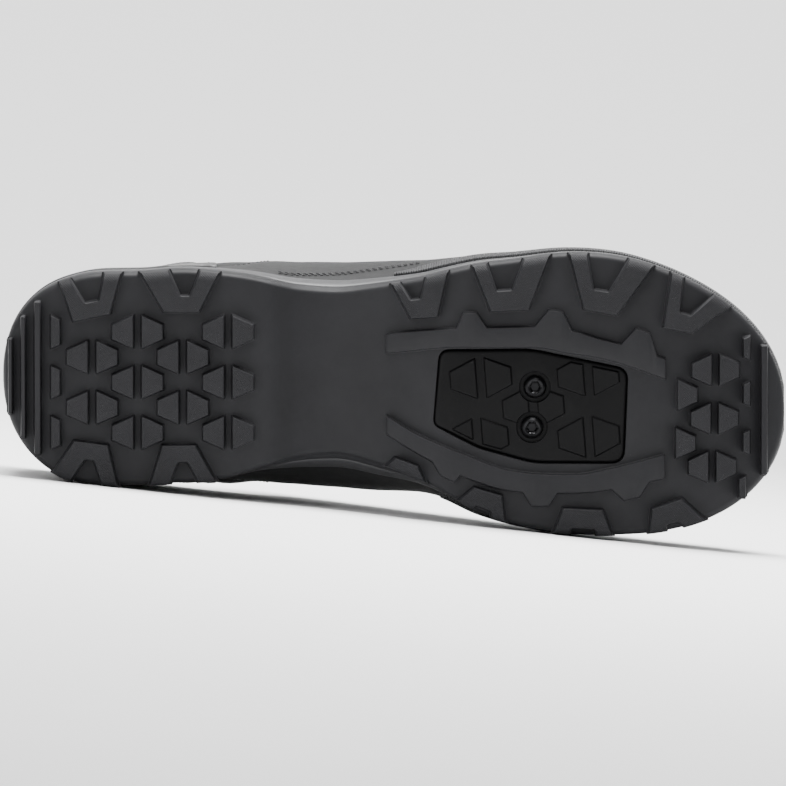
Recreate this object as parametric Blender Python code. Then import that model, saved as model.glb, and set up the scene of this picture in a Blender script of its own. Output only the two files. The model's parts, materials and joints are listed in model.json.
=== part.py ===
"""Right-foot cycling shoe for two-bolt cleats, lying on its medial side.

Everything is modelled in the shoe's own frame, in metres: +X from heel to toe, +Y towards the medial
(big toe) side, +Z up from the plane that the lugs stand on. One parent empty then lays the shoe down.
"""

import math

import bmesh
import bpy
import numpy as np
from mathutils import Matrix, Vector

# Driving sizes of the sole
SOLE_LENGTH = 0.270
BALL_WIDTH = 0.0985
LUG_HEIGHT = 0.0045
ARCH_RISE = 0.0085
TOE_SPRING = 0.0150
HEEL_BEVEL = 0.0040
OUTSOLE_BODY = 0.0095
MIDSOLE_HEEL = 0.0115
HEEL_ROUNDING = 0.037
TOE_ROUNDING = 0.076
END_POWER = 2.2

# Driving sizes of the upper
HEEL_HEIGHT = 0.094
INSTEP_HEIGHT = 0.112
WALL = 0.0022
COLLAR_PAD = 0.0030
UPPER_INSET = 0.0012

# Thicknesses and clearances
GAP = 0.0003
FACET_ALLOWANCE = 0.0002
INSOLE_THICKNESS = 0.0040
INSOLE_CLEARANCE = 0.0006
TONGUE_THICKNESS = 0.0045
TONGUE_CLEARANCE = 0.0014
STRAP_THICKNESS = 0.0018
COUNTER_THICKNESS = 0.0012
RAND_THICKNESS = 0.0012
RAND_HEIGHT = 0.0075

# Tread
LUG_CHAMFER = 0.0007
LUG_ROOT = 0.0030
EDGE_BEVEL = 0.0022
EDGE_LUG_INSET = 0.0008
RAIL_HEIGHT = 0.0028
TREAD_LUG_DEPTH = 0.0078
TREAD_LUG_LONG = 0.0121
TREAD_LUG_SHORT = 0.0052
TREAD_SPLIT = 0.0024
TREAD_ROW_PITCH = 0.00868
TREAD_COLUMN_PITCH = 0.0156
TOE_LUG_SCALE = 0.94
TOE_ROW_PITCH = 0.00835
TOE_STUB_DEPTH = 0.0028
TOE_STUB_SHORT = 0.0066
TOE_STUB_LONG = 0.0088

# Cleat pocket, its cover and the two bolts
POCKET_DEPTH = 0.0040
COVER_RECESS = 0.0012
COVER_LUG_HEIGHT = 0.0008
COVER_LUG_SCALE = 1.19
COVER_LUG_TURN = math.radians(4.5)
BOLT_SPACING = 0.0140
BOLT_ALONG = 0.6775
BOLT_ACROSS = 0.052
BOLT_TURN = math.radians(4.2)
BOLT_HEAD_RADIUS = 0.0040
BOLT_FACE_RADIUS = 0.0029
BOLT_HEAD_HEIGHT = 0.0022
BOLT_SHANK_RADIUS = 0.0025
BOLT_SHANK_LENGTH = 0.0052
BOLT_SOCKET_FLATS = 0.0040
BOLT_SOCKET_DEPTH = 0.0013
COUNTERBORE_RADIUS = 0.00525
COUNTERBORE_DEPTH = 0.0010

# Where the padding of the wall starts and is full, as shares of its height, and where the collar's ends
PAD_START = 0.55
PAD_FULL = 0.90
COLLAR_FRONT = 0.315
COLLAR_FADE = 0.07

# Fineness of the meshes
STATIONS = 40
UPPER_ROWS = 9
COUNTER_ROWS = 5
TONGUE_COLUMNS = 11
TONGUE_ROWS = 14
STRAP_COLUMNS = 14
STRAP_ROWS = 3
RAND_ROWS = 2

LATERAL, MEDIAL = -1, 1

# One row for each station of the sole. along: share of the sole length. centre, half and the flares: shares
# of the ball width. arch, spring, bevel: shares of their rises. outsole, midsole: shares of their thickness.
SOLE_COLUMNS = ("along", "centre", "half", "flare_lateral", "flare_medial",
                "arch", "spring", "bevel", "outsole", "midsole")
SOLE_SECTIONS = (
    (0.000, -0.058, 0.375, 0.000, 0.000, 0.00, 0.00, 1.00, 0.95, 1.00),
    (0.040, -0.052, 0.375, 0.000, 0.000, 0.00, 0.00, 0.35, 0.97, 1.00),
    (0.090, -0.045, 0.375, 0.000, 0.000, 0.00, 0.00, 0.00, 1.00, 1.00),
    (0.170, -0.047, 0.375, 0.000, 0.000, 0.00, 0.00, 0.00, 1.00, 1.00),
    (0.225, -0.056, 0.376, 0.000, 0.000, 0.00, 0.00, 0.00, 1.00, 1.00),
    (0.280, -0.058, 0.364, 0.004, 0.006, 0.00, 0.00, 0.00, 1.00, 0.97),
    (0.335, -0.068, 0.328, 0.014, 0.022, 0.06, 0.00, 0.00, 0.88, 0.90),
    (0.380, -0.068, 0.296, 0.026, 0.046, 0.72, 0.00, 0.00, 0.50, 0.80),
    (0.425, -0.067, 0.286, 0.030, 0.055, 1.00, 0.00, 0.00, 0.36, 0.72),
    (0.480, -0.058, 0.313, 0.022, 0.045, 0.84, 0.00, 0.00, 0.45, 0.62),
    (0.535, -0.044, 0.355, 0.014, 0.020, 0.30, 0.00, 0.00, 0.66, 0.50),
    (0.570, -0.032, 0.394, 0.010, 0.010, 0.05, 0.00, 0.00, 0.75, 0.45),
    (0.610, -0.014, 0.436, 0.008, 0.004, 0.00, 0.00, 0.00, 0.80, 0.42),
    (0.660, 0.000, 0.468, 0.003, 0.000, 0.00, 0.00, 0.00, 0.80, 0.40),
    (0.720, 0.004, 0.492, 0.000, 0.000, 0.00, 0.00, 0.00, 0.80, 0.40),
    (0.780, 0.011, 0.498, 0.000, 0.000, 0.00, 0.03, 0.00, 0.79, 0.40),
    (0.840, 0.028, 0.500, 0.000, 0.000, 0.00, 0.13, 0.00, 0.76, 0.41),
    (0.900, 0.047, 0.500, 0.000, 0.000, 0.00, 0.33, 0.00, 0.74, 0.43),
    (0.950, 0.061, 0.500, 0.000, 0.000, 0.00, 0.60, 0.00, 0.74, 0.46),
    (1.000, 0.075, 0.500, 0.000, 0.000, 0.00, 1.00, 0.00, 0.76, 0.50),
)

# One row for each section of the upper. ridge_along: where its arch meets the top line, a share of the sole
# length. ridge_side, bulges, gap (half the throat) and tongue: shares of the ball width. ridge_height: share
# of the instep height. fullness: power of the arch, 2 being an ellipse. collar: share of the heel height.
UPPER_COLUMNS = ("along", "ridge_along", "ridge_side", "ridge_height", "fullness",
                 "bulge_lateral", "bulge_medial", "collar", "gap", "tongue")
UPPER_SECTIONS = (
    (0.00, 0.130, -0.045, 1.020, 2.40, 0.000, 0.020, 1.000, 0.30, 0.27),
    (0.05, 0.145, -0.045, 1.020, 2.40, 0.000, 0.020, 0.990, 0.30, 0.27),
    (0.10, 0.170, -0.045, 1.020, 2.40, -0.012, 0.018, 0.940, 0.30, 0.27),
    (0.17, 0.215, -0.045, 1.020, 2.40, -0.014, 0.030, 0.835, 0.30, 0.27),
    (0.24, 0.265, -0.040, 1.020, 2.30, 0.010, 0.060, 0.780, 0.30, 0.27),
    (0.30, 0.312, -0.030, 1.010, 2.20, 0.055, 0.110, 0.805, 0.28, 0.24),
    (0.36, 0.365, -0.020, 0.960, 2.15, 0.100, 0.150, 0.980, 0.17, 0.215),
    (0.43, 0.432, -0.012, 0.880, 2.10, 0.118, 0.165, 1.300, 0.15, 0.22),
    (0.50, 0.500, 0.000, 0.790, 2.10, 0.112, 0.135, 1.300, 0.13, 0.22),
    (0.58, 0.578, 0.012, 0.690, 2.10, 0.080, 0.080, 1.300, 0.11, 0.21),
    (0.66, 0.655, 0.025, 0.600, 2.15, 0.050, 0.045, 1.300, 0.085, 0.17),
    (0.72, 0.712, 0.035, 0.545, 2.20, 0.035, 0.035, 1.300, 0.060, 0.13),
    (0.80, 0.785, 0.048, 0.500, 2.30, 0.025, 0.028, 1.300, 0.000, 0.10),
    (0.87, 0.845, 0.056, 0.475, 2.40, 0.020, 0.022, 1.300, 0.000, 0.08),
    (0.94, 0.892, 0.062, 0.462, 2.50, 0.018, 0.018, 1.300, 0.000, 0.08),
    (1.00, 0.915, 0.066, 0.452, 2.60, 0.015, 0.015, 1.300, 0.000, 0.08),
)
THROAT_BACK = 0.330
THROAT_FRONT = 0.735
THROAT_STATIONS = (0.325, 0.357, 0.400, 0.722)
THROAT_LOWEST = 0.3
TONGUE_SPAN = (0.315, 0.765)

# One row for each notched lug of the edge. start, end: shares of the sole length at the edge. in_start,
# in_end: the same at its inner side. deep_start, deep_end: how far in it reaches, shares of the ball width.
# cut_*: the notch, along the edge, along its inner side and in depth, shares of the lug's own.
EDGE_LUG_COLUMNS = ("side", "start", "end", "in_start", "in_end", "deep_start", "deep_end",
                    "cut_start", "cut_end", "cut_in_start", "cut_in_end", "cut_depth")
EDGE_LUGS = (
    (LATERAL, 0.073, 0.155, 0.091, 0.140, 0.160, 0.148, 0.18, 0.70, 0.34, 0.67, 0.64),
    (LATERAL, 0.175, 0.280, 0.206, 0.253, 0.150, 0.150, 0.37, 0.74, 0.49, 0.71, 0.62),
    (MEDIAL, 0.063, 0.150, 0.092, 0.137, 0.152, 0.150, 0.29, 0.74, 0.34, 0.56, 0.60),
    (MEDIAL, 0.187, 0.275, 0.204, 0.248, 0.143, 0.138, 0.32, 0.72, 0.50, 0.74, 0.55),
    (LATERAL, 0.495, 0.570, 0.520, 0.556, 0.137, 0.154, 0.16, 0.60, 0.05, 0.35, 0.50),
    (LATERAL, 0.598, 0.700, 0.622, 0.672, 0.175, 0.186, 0.20, 0.65, 0.18, 0.54, 0.58),
    (LATERAL, 0.721, 0.832, 0.740, 0.784, 0.200, 0.211, 0.23, 0.70, 0.33, 0.73, 0.62),
    (LATERAL, 0.852, 0.930, 0.841, 0.880, 0.210, 0.183, 0.22, 0.72, 0.60, 0.92, 0.66),
    (MEDIAL, 0.487, 0.542, 0.501, 0.531, 0.048, 0.052, 0.00, 0.00, 0.00, 0.00, 0.00),
    (MEDIAL, 0.579, 0.643, 0.601, 0.638, 0.084, 0.095, 0.31, 0.69, 0.10, 0.59, 0.25),
    (MEDIAL, 0.701, 0.780, 0.714, 0.766, 0.095, 0.095, 0.28, 0.72, 0.24, 0.78, 0.25),
    (MEDIAL, 0.823, 0.900, 0.827, 0.867, 0.091, 0.109, 0.31, 0.62, 0.52, 0.87, 0.24),
)

# The two rails beside the cleat pocket, a row for each station: share of the sole length, then the outer and
# the inner side as shares of the ball width from the axis.
RAILS = {
    LATERAL: (
        (0.489, -0.198, -0.134), (0.500, -0.207, -0.137), (0.581, -0.225, -0.158), (0.680, -0.232, -0.157),
        (0.726, -0.218, -0.136), (0.761, -0.190, -0.121), (0.795, -0.165, -0.096), (0.846, -0.118, -0.045),
    ),
    MEDIAL: (
        (0.490, 0.150, 0.082), (0.525, 0.208, 0.140), (0.593, 0.300, 0.218), (0.646, 0.343, 0.270),
        (0.688, 0.352, 0.284), (0.730, 0.352, 0.286), (0.779, 0.340, 0.263), (0.845, 0.302, 0.218),
    ),
}
# Each block on a rail's outer side: where its foot and its crest start and where they end along the sole, and
# how far out it stands (of ball width).
RAIL_BLOCKS = {
    LATERAL: (
        (0.579, 0.588, 0.605, 0.618, 0.054), (0.679, 0.697, 0.715, 0.727, 0.061),
        (0.789, 0.808, 0.826, 0.835, 0.072),
    ),
    MEDIAL: (
        (0.549, 0.559, 0.577, 0.584, 0.032), (0.664, 0.675, 0.697, 0.708, 0.046),
        (0.778, 0.793, 0.813, 0.825, 0.044),
    ),
}

# Corners of the cleat pocket: share of the sole length, share of the ball width and corner radius.
POCKET_CORNERS = (
    (0.557, -0.151, 0.0042), (0.675, -0.153, 0.0300), (0.799, -0.084, 0.0050), (0.794, 0.251, 0.0050),
    (0.677, 0.249, 0.0300), (0.608, 0.197, 0.0200), (0.549, 0.116, 0.0036),
)

# Bars across the sole: start and end along it, and how far from the edge they stop, of the ball width.
CROSS_RIBS = ((0.0073, 0.0138, 0.030), (0.0236, 0.0307, 0.028), (0.0410, 0.0503, 0.026), (0.968, 0.9776, 0.012))

# Heel lugs: the axis of their middle row and the first split, and the split columns of even and odd rows.
HEEL_ROWS = 5
HEEL_MIDDLE = -0.0368
HEEL_FIRST_SPLIT = 0.0576
HEEL_COLUMNS = ((0, 2, 4), (1, 3))
HEEL_STUB = 0.0036

# Toe lugs: the row (in half pitches from the middle one), the split's share of the length, and which halves.
TOE_MIDDLE = 0.093
TOE_LUGS = (
    (-2, 0.9100, "both"), (0, 0.9087, "both"), (2, 0.9058, "both"),
    (-1, 0.8562, "front"), (1, 0.8538, "front"),
    (-2.9, 0.9763, "stub"), (-1, 0.9763, "stub"), (1, 0.9760, "stub"), (2.9, 0.9707, "stub"),
)

# Lugs of the cover plate, in half columns and rows about the middle of the two bolts.
COVER_LUG_PLACES = ((-1.86, -1.10), (-2.15, 0.90), (0.00, 0.00), (2.12, -0.90), (1.97, 1.14))

# Straps: start and end along the sole at the ridge, where each ends on the arch of either side (0 at the
# sole, 1 on the ridge), and how far its lateral end lies further back.
STRAPS = {
    "strap_front": (0.655, 0.700, 0.56, 0.70, 0.012),
    "strap_middle": (0.555, 0.612, 0.52, 0.70, 0.016),
    "strap_top": (0.425, 0.505, 0.50, 0.70, 0.020),
}

# Heel counter: how far forward it reaches at its foot and at its top edge, and that edge on the arch.
COUNTER_FOOT = 0.270
COUNTER_CREST = 0.150
COUNTER_TOP = 0.30
COUNTER_FALL = 0.7
FOOT_RISE = 0.01
RAND_START = {LATERAL: 0.500, MEDIAL: 0.560}

# Colours (linear), roughness and metallic of each piece, and its density for the balance.
FINISHES = {
    "outsole": ((0.040, 0.040, 0.043), 0.62, 0.0, 1150),
    "midsole": ((0.075, 0.075, 0.078), 0.50, 0.0, 900),
    "cleat_cover": ((0.016, 0.016, 0.017), 0.55, 0.0, 1200),
    "bolt": ((0.012, 0.012, 0.013), 0.35, 0.8, 7800),
    "upper": ((0.110, 0.110, 0.115), 0.60, 0.0, 700),
    "insole": ((0.030, 0.030, 0.032), 0.90, 0.0, 250),
    "tongue": ((0.025, 0.025, 0.027), 0.85, 0.0, 300),
    "heel_counter": ((0.030, 0.030, 0.032), 0.50, 0.0, 1100),
    "rand": ((0.060, 0.060, 0.063), 0.55, 0.0, 1100),
    "strap": ((0.020, 0.020, 0.022), 0.75, 0.0, 900),
}


def smooth_curve(rows, columns, name):
    """Monotone cubic through one column of a table: it never overshoots, and flat stretches stay flat."""
    column = columns.index(name)
    places = np.array([row[0] for row in rows])
    values = np.array([row[column] for row in rows])
    steps = np.diff(places)
    slopes = np.diff(values) / steps
    tangents = np.zeros(len(places))
    tangents[0], tangents[-1] = slopes[0], slopes[-1]
    for i in range(1, len(places) - 1):
        before, after = slopes[i - 1], slopes[i]
        if before * after > 0:
            near, far = 2 * steps[i] + steps[i - 1], steps[i] + 2 * steps[i - 1]
            tangents[i] = (near + far) / (near / before + far / after)

    def at(place):
        place = min(max(place, places[0]), places[-1])
        i = min(int(np.searchsorted(places, place, side="right")) - 1, len(steps) - 1)
        t = (place - places[i]) / steps[i]
        rise = values[i + 1] - values[i]
        start, end = tangents[i] * steps[i], tangents[i + 1] * steps[i]
        return values[i] + start * t + (3 * rise - 2 * start - end) * t**2 + (start + end - 2 * rise) * t**3

    return at


SOLE = {name: smooth_curve(SOLE_SECTIONS, SOLE_COLUMNS, name) for name in SOLE_COLUMNS[1:]}
UPPER = {name: smooth_curve(UPPER_SECTIONS, UPPER_COLUMNS, name) for name in UPPER_COLUMNS[1:]}


def tread_height(x):
    """Underside of the outsole between its lugs."""
    along = x / SOLE_LENGTH
    rises = ARCH_RISE * SOLE["arch"](along) + TOE_SPRING * SOLE["spring"](along)
    return LUG_HEIGHT + rises + HEEL_BEVEL * SOLE["bevel"](along)


def outsole_top(x):
    return tread_height(x) + OUTSOLE_BODY * SOLE["outsole"](x / SOLE_LENGTH)


def feather_height(x):
    """Top of the midsole, where the upper stands."""
    return outsole_top(x) + GAP + MIDSOLE_HEEL * SOLE["midsole"](x / SOLE_LENGTH)


def end_round(along):
    """Share of the full width that is left at the round heel and toe ends."""
    heel = max(0.0, 1 - along * SOLE_LENGTH / HEEL_ROUNDING)
    toe = max(0.0, 1 - (1 - along) * SOLE_LENGTH / TOE_ROUNDING)
    return ((1 - heel**END_POWER) * (1 - toe**END_POWER)) ** (1 / END_POWER)


def edge_point(along, side, inset=0.0, flare=0.0):
    """Point of the sole's outline, drawn in by an inset and let out by a share of the flare."""
    half = SOLE["half"](along) * BALL_WIDTH
    column = "flare_lateral" if side == LATERAL else "flare_medial"
    out = half + flare * SOLE[column](along) * BALL_WIDTH - inset
    x = inset + along * (SOLE_LENGTH - 2 * inset)
    return x, SOLE["centre"](along) * BALL_WIDTH + side * out * end_round(along)


def stations(count=STATIONS):
    """Shares of the length, close together at both ends and where collar meets throat."""
    spread = [0.5 * (1 - math.cos(math.pi * i / count)) for i in range(count + 1)]
    return sorted(spread + list(THROAT_STATIONS))


def new_object(name, bm, collection, finish=None):
    bmesh.ops.recalc_face_normals(bm, faces=bm.faces)
    mesh = bpy.data.meshes.new(name)
    bm.to_mesh(mesh)
    bm.free()
    obj = bpy.data.objects.new(name, mesh)
    collection.objects.link(obj)
    if finish:
        mesh.shade_smooth()
        mesh.set_sharp_from_angle(angle=math.radians(35))
        mesh.materials.append(new_material(name, finish))
    else:
        obj.hide_render = True
        obj.display_type = "WIRE"
    return obj


def new_material(name, finish):
    colour, roughness, metallic, _ = FINISHES[finish]
    material = bpy.data.materials.new(name)
    material.use_nodes = True
    shader = material.node_tree.nodes["Principled BSDF"]
    shader.inputs["Base Color"].default_value = (*colour, 1)
    shader.inputs["Roughness"].default_value = roughness
    shader.inputs["Metallic"].default_value = metallic
    return material


def cut(obj, tool, operation, crossing=False):
    """crossing is for a tool whose own blocks may run into each other."""
    modifier = obj.modifiers.new(f"{operation.lower()} {tool.name}", "BOOLEAN")
    modifier.object = tool
    modifier.operation = operation
    modifier.solver = "EXACT"
    modifier.use_self = crossing


def bridge(bm, first, second, closed=True):
    """Quads between two rows of vertices."""
    count = len(first) if closed else len(first) - 1
    for i in range(count):
        j = (i + 1) % len(first)
        bm.faces.new((first[i], first[j], second[j], second[i]))


def ladder(bm, ring):
    """Close a ring that runs heel, lateral side, toe, medial side with faces across the sole."""
    half = len(ring) // 2
    lateral = ring[: half + 1]
    medial = [ring[0]] + ring[:half:-1] + [ring[half]]
    for i in range(half):
        corners = (lateral[i], lateral[i + 1], medial[i + 1], medial[i])
        bm.faces.new(tuple(dict.fromkeys(corners)))


def sole_ring(bm, inset, flare, height):
    """A ring of the sole's outline: height gives its z from x."""
    alongs = stations()
    places = [edge_point(along, LATERAL, inset, flare) for along in alongs]
    places += [edge_point(along, MEDIAL, inset, flare) for along in alongs[-2:0:-1]]
    return [bm.verts.new((x, y, height(x))) for x, y in places]


def sole_layer(name, collection, finish, rings):
    """A layer of the sole from its rings, listed from the underside up as (inset, flare, height)."""
    bm = bmesh.new()
    made = [sole_ring(bm, *ring) for ring in rings]
    for lower, upper in zip(made, made[1:]):
        bridge(bm, lower, upper)
    ladder(bm, made[0])
    ladder(bm, made[-1])
    return new_object(name, bm, collection, finish)


def inset_polygon(points, inset):
    """The polygon with each side moved inwards. Its corners run anticlockwise."""
    moved = []
    for i, corner in enumerate(points):
        before, after = Vector(points[i - 1]), Vector(points[(i + 1) % len(points)])
        into, out = (Vector(corner) - before).normalized(), (after - Vector(corner)).normalized()
        normal_in, normal_out = Vector((-into.y, into.x)), Vector((-out.y, out.x))
        middle = normal_in + normal_out
        moved.append(Vector(corner) + middle * (2 * inset / max(middle.length_squared, 0.5)))
    return [tuple(point) for point in moved]


def anticlockwise(points):
    area = sum(a[0] * b[1] - b[0] * a[1] for a, b in zip(points, points[1:] + points[:1]))
    return points if area > 0 else points[::-1]


def rounded_polygon(corners, segments=4):
    """Corners given as (x, y, radius), each turned into an arc."""
    points = []
    for i, (x, y, radius) in enumerate(corners):
        corner = Vector((x, y))
        back = Vector(corners[i - 1][:2]) - corner
        ahead = Vector(corners[(i + 1) % len(corners)][:2]) - corner
        half_angle = back.angle(ahead) / 2
        run = min(radius / math.tan(half_angle), 0.45 * back.length, 0.45 * ahead.length)
        start, end = corner + back.normalized() * run, corner + ahead.normalized() * run
        for step in range(segments + 1):
            t = step / segments
            points.append(tuple((1 - t) ** 2 * start + 2 * t * (1 - t) * corner + t**2 * end))
    return points


def clipped_polygon(points, clip):
    """The part of a polygon inside a convex one. Both run anticlockwise."""
    for a, b in zip(clip, clip[1:] + clip[:1]):
        kept = []

        def depth(p):
            return (b[0] - a[0]) * (p[1] - a[1]) - (b[1] - a[1]) * (p[0] - a[0])

        for p, q in zip(points, points[1:] + points[:1]):
            inside_p, inside_q = depth(p) >= 0, depth(q) >= 0
            if inside_p:
                kept.append(p)
            if inside_p != inside_q:
                share = depth(p) / (depth(p) - depth(q))
                kept.append((p[0] + share * (q[0] - p[0]), p[1] + share * (q[1] - p[1])))
        points = kept
    return points


def add_block(bm, outline, root, tip, chamfer=LUG_CHAMFER):
    """A lug with a chamfered tip. root and tip are heights at the outline's first and last x, and run
    straight between them, so that both ends are flat."""
    outline = anticlockwise(outline)
    low, high = min(p[0] for p in outline), max(p[0] for p in outline)

    def level(ends, x):
        return ends[0] + (ends[1] - ends[0]) * (x - low) / (high - low)

    shoulder = [end + chamfer for end in tip]
    rings = (
        [bm.verts.new((x, y, level(root, x))) for x, y in outline],
        [bm.verts.new((x, y, level(shoulder, x))) for x, y in outline],
        [bm.verts.new((x, y, level(tip, x))) for x, y in inset_polygon(outline, chamfer)],
    )
    bridge(bm, rings[0], rings[1])
    bridge(bm, rings[1], rings[2])
    bm.faces.new(rings[0])
    bm.faces.new(rings[2])


def add_tread_lug(bm, outline, height=LUG_HEIGHT):
    """A lug on the tread. Its tip follows the tread at its own height and never passes the ground."""
    ends = min(p[0] for p in outline), max(p[0] for p in outline)
    root = [tread_height(x) + LUG_ROOT for x in ends]
    tip = [max(tread_height(x) - height, 0.0) for x in ends]
    add_block(bm, outline, root, tip)


def split_hexagon(x, y, scale, halves, turn=0.0, stub=HEEL_STUB):
    """Outlines of a hexagonal lug that a groove splits in two, about the groove's middle."""
    long, short = TREAD_LUG_LONG * scale / 2, TREAD_LUG_SHORT * scale / 2
    near, far = TREAD_SPLIT * scale / 2, TREAD_SPLIT * scale / 2 + TREAD_LUG_DEPTH * scale
    back = [(-near, -long), (-near, long), (-far, short), (-far, -short)]
    front = [(-px, py) for px, py in back]
    cut_side = long + (short - long) * stub / (far - near)
    front_stub = [(near, -long), (near, long), (near + stub, cut_side), (near + stub, -cut_side)]
    narrow, wide, deep = TOE_STUB_SHORT / 2, TOE_STUB_LONG / 2, -far + TOE_STUB_DEPTH
    toe_stub = [(-far, -narrow), (-far, narrow), (deep, wide), (deep, -wide)]
    shapes = {"both": (back, front), "front": (front,), "front_stub": (front_stub,), "stub": (toe_stub,)}
    turned = Matrix.Rotation(turn, 2)
    return [[tuple(turned @ Vector(p) + Vector((x, y))) for p in shape] for shape in shapes[halves]]


def edge_lug(side, start, end, in_start, in_end, deep_start, deep_end,
             cut_start, cut_end, cut_in_start, cut_in_end, cut_depth):
    """Outline of a lug that reaches in from the sole's edge, with its notch."""

    def point(along, depth):
        x, y = edge_point(along, side, EDGE_LUG_INSET)
        return x, y - side * depth * BALL_WIDTH

    def notch_corner(share):
        depth = deep_start + (deep_end - deep_start) * share
        return point(in_start + (in_end - in_start) * share, cut_depth * depth)

    outline = [point(start, 0), point(in_start, deep_start), point(in_end, deep_end), point(end, 0)]
    if cut_depth:
        outline += [
            point(start + (end - start) * cut_end, 0),
            notch_corner(cut_in_end),
            notch_corner(cut_in_start),
            point(start + (end - start) * cut_start, 0),
        ]
    return outline


def cross_rib(start, end, stop):
    """Outline of a bar across the sole."""
    middle = (start + end) / 2
    outline = []
    for along, side in ((start, LATERAL), (end, LATERAL), (end, MEDIAL), (start, MEDIAL)):
        _, y = edge_point(middle, side)
        outline.append((along * SOLE_LENGTH, y - side * stop * BALL_WIDTH))
    return outline


def add_rail(bm, side):
    """A raised rail beside the pocket, with blocks on its outer side. It follows the tread's height."""
    rows = RAILS[side]
    places = [row[0] for row in rows]
    bumps = [(place, 0.0) for place in places]
    for foot_start, start, end, foot_end, out in RAIL_BLOCKS[side]:
        bumps = [bump for bump in bumps if not foot_start <= bump[0] <= foot_end]
        bumps += [(foot_start, 0.0), (start, out), (end, out), (foot_end, 0.0)]
    rings = []
    for place, out in sorted(bumps):
        x = place * SOLE_LENGTH
        outer = (float(np.interp(place, places, [row[1] for row in rows])) + side * out) * BALL_WIDTH
        inner = float(np.interp(place, places, [row[2] for row in rows])) * BALL_WIDTH
        root, tip = tread_height(x) + LUG_ROOT, tread_height(x) - RAIL_HEIGHT
        section = (
            (outer, root), (outer, tip + LUG_CHAMFER), (outer - side * LUG_CHAMFER, tip),
            (inner + side * LUG_CHAMFER, tip), (inner, tip + LUG_CHAMFER), (inner, root),
        )
        rings.append([bm.verts.new((x, y, z)) for y, z in section])
    for first, second in zip(rings, rings[1:]):
        bridge(bm, first, second)
    bm.faces.new(rings[0])
    bm.faces.new(rings[-1])


def pocket_outline(inset):
    corners = [(x * SOLE_LENGTH, y * BALL_WIDTH, radius) for x, y, radius in POCKET_CORNERS]
    return inset_polygon(anticlockwise(rounded_polygon(corners)), inset)


def bolt_places():
    """Middle of each bolt, lateral first."""
    middle = Vector((BOLT_ALONG * SOLE_LENGTH, BOLT_ACROSS * BALL_WIDTH))
    across = Vector((-math.sin(BOLT_TURN), math.cos(BOLT_TURN))) * BOLT_SPACING / 2
    return middle - across, middle + across


def add_prism(bm, outline, low, high):
    rings = [[bm.verts.new((x, y, z)) for x, y in outline] for z in (low, high)]
    bridge(bm, *rings)
    bm.faces.new(rings[0])
    bm.faces.new(rings[1])


def add_drum(bm, place, radius, low, high, segments=24, tip_radius=None):
    """An upright cylinder or cone: radius at its low end, tip_radius at its high end."""
    middle = Matrix.Translation((place[0], place[1], (low + high) / 2))
    bmesh.ops.create_cone(
        bm, cap_ends=True, segments=segments, radius1=radius, radius2=tip_radius or radius,
        depth=high - low, matrix=middle,
    )


def pocket_floor():
    return LUG_HEIGHT + POCKET_DEPTH


def cover_face():
    return LUG_HEIGHT + COVER_RECESS


def bolt_seat():
    return cover_face() + COUNTERBORE_DEPTH


def outsole(parts, cutters):
    body = sole_layer("outsole", parts, "outsole", (
        (EDGE_BEVEL, 0.0, tread_height),
        (0.1 * EDGE_BEVEL, 0.0, lambda x: tread_height(x) + 0.30 * (outsole_top(x) - tread_height(x))),
        (0.0, 0.35, lambda x: tread_height(x) + 0.85 * (outsole_top(x) - tread_height(x))),
        (0.2 * EDGE_BEVEL, 0.40, outsole_top),
    ))
    bm = bmesh.new()
    for lug in EDGE_LUGS:
        add_tread_lug(bm, edge_lug(**dict(zip(EDGE_LUG_COLUMNS, lug))))
    for rib in CROSS_RIBS:
        add_tread_lug(bm, cross_rib(*rib))
    for row in range(HEEL_ROWS):
        y = HEEL_MIDDLE * BALL_WIDTH + (row - HEEL_ROWS // 2) * TREAD_ROW_PITCH
        for column in HEEL_COLUMNS[row % 2]:
            x = HEEL_FIRST_SPLIT * SOLE_LENGTH + column * TREAD_COLUMN_PITCH
            for outline in split_hexagon(x, y, 1.0, "both" if column else "front_stub"):
                add_tread_lug(bm, outline)
    for row, along, halves in TOE_LUGS:
        y = TOE_MIDDLE * BALL_WIDTH + row * TOE_ROW_PITCH
        for outline in split_hexagon(along * SOLE_LENGTH, y, TOE_LUG_SCALE, halves):
            add_tread_lug(bm, outline)
    for side in (LATERAL, MEDIAL):
        add_rail(bm, side)
    cut(body, new_object("tread_blocks", bm, cutters), "UNION", crossing=True)

    bm = bmesh.new()
    add_prism(bm, pocket_outline(0.0), -LUG_HEIGHT, pocket_floor())
    cut(body, new_object("pocket_space", bm, cutters), "DIFFERENCE")
    bm = bmesh.new()
    for place in bolt_places():
        top = bolt_seat() - GAP + BOLT_SHANK_LENGTH + GAP
        add_drum(bm, place, BOLT_SHANK_RADIUS + GAP, pocket_floor() - GAP, top)
    cut(body, new_object("bolt_holes", bm, cutters), "DIFFERENCE")
    return body


def midsole(parts):
    def between(share):
        return lambda x: outsole_top(x) + GAP + share * (feather_height(x) - outsole_top(x) - GAP)

    return sole_layer("midsole", parts, "midsole", (
        (0.30 * EDGE_BEVEL, 0.45, between(0.0)),
        (0.00, 0.55, between(0.12)),
        (0.00, 1.00, between(0.85)),
        (0.20 * EDGE_BEVEL, 1.00, between(1.0)),
    ))


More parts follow.
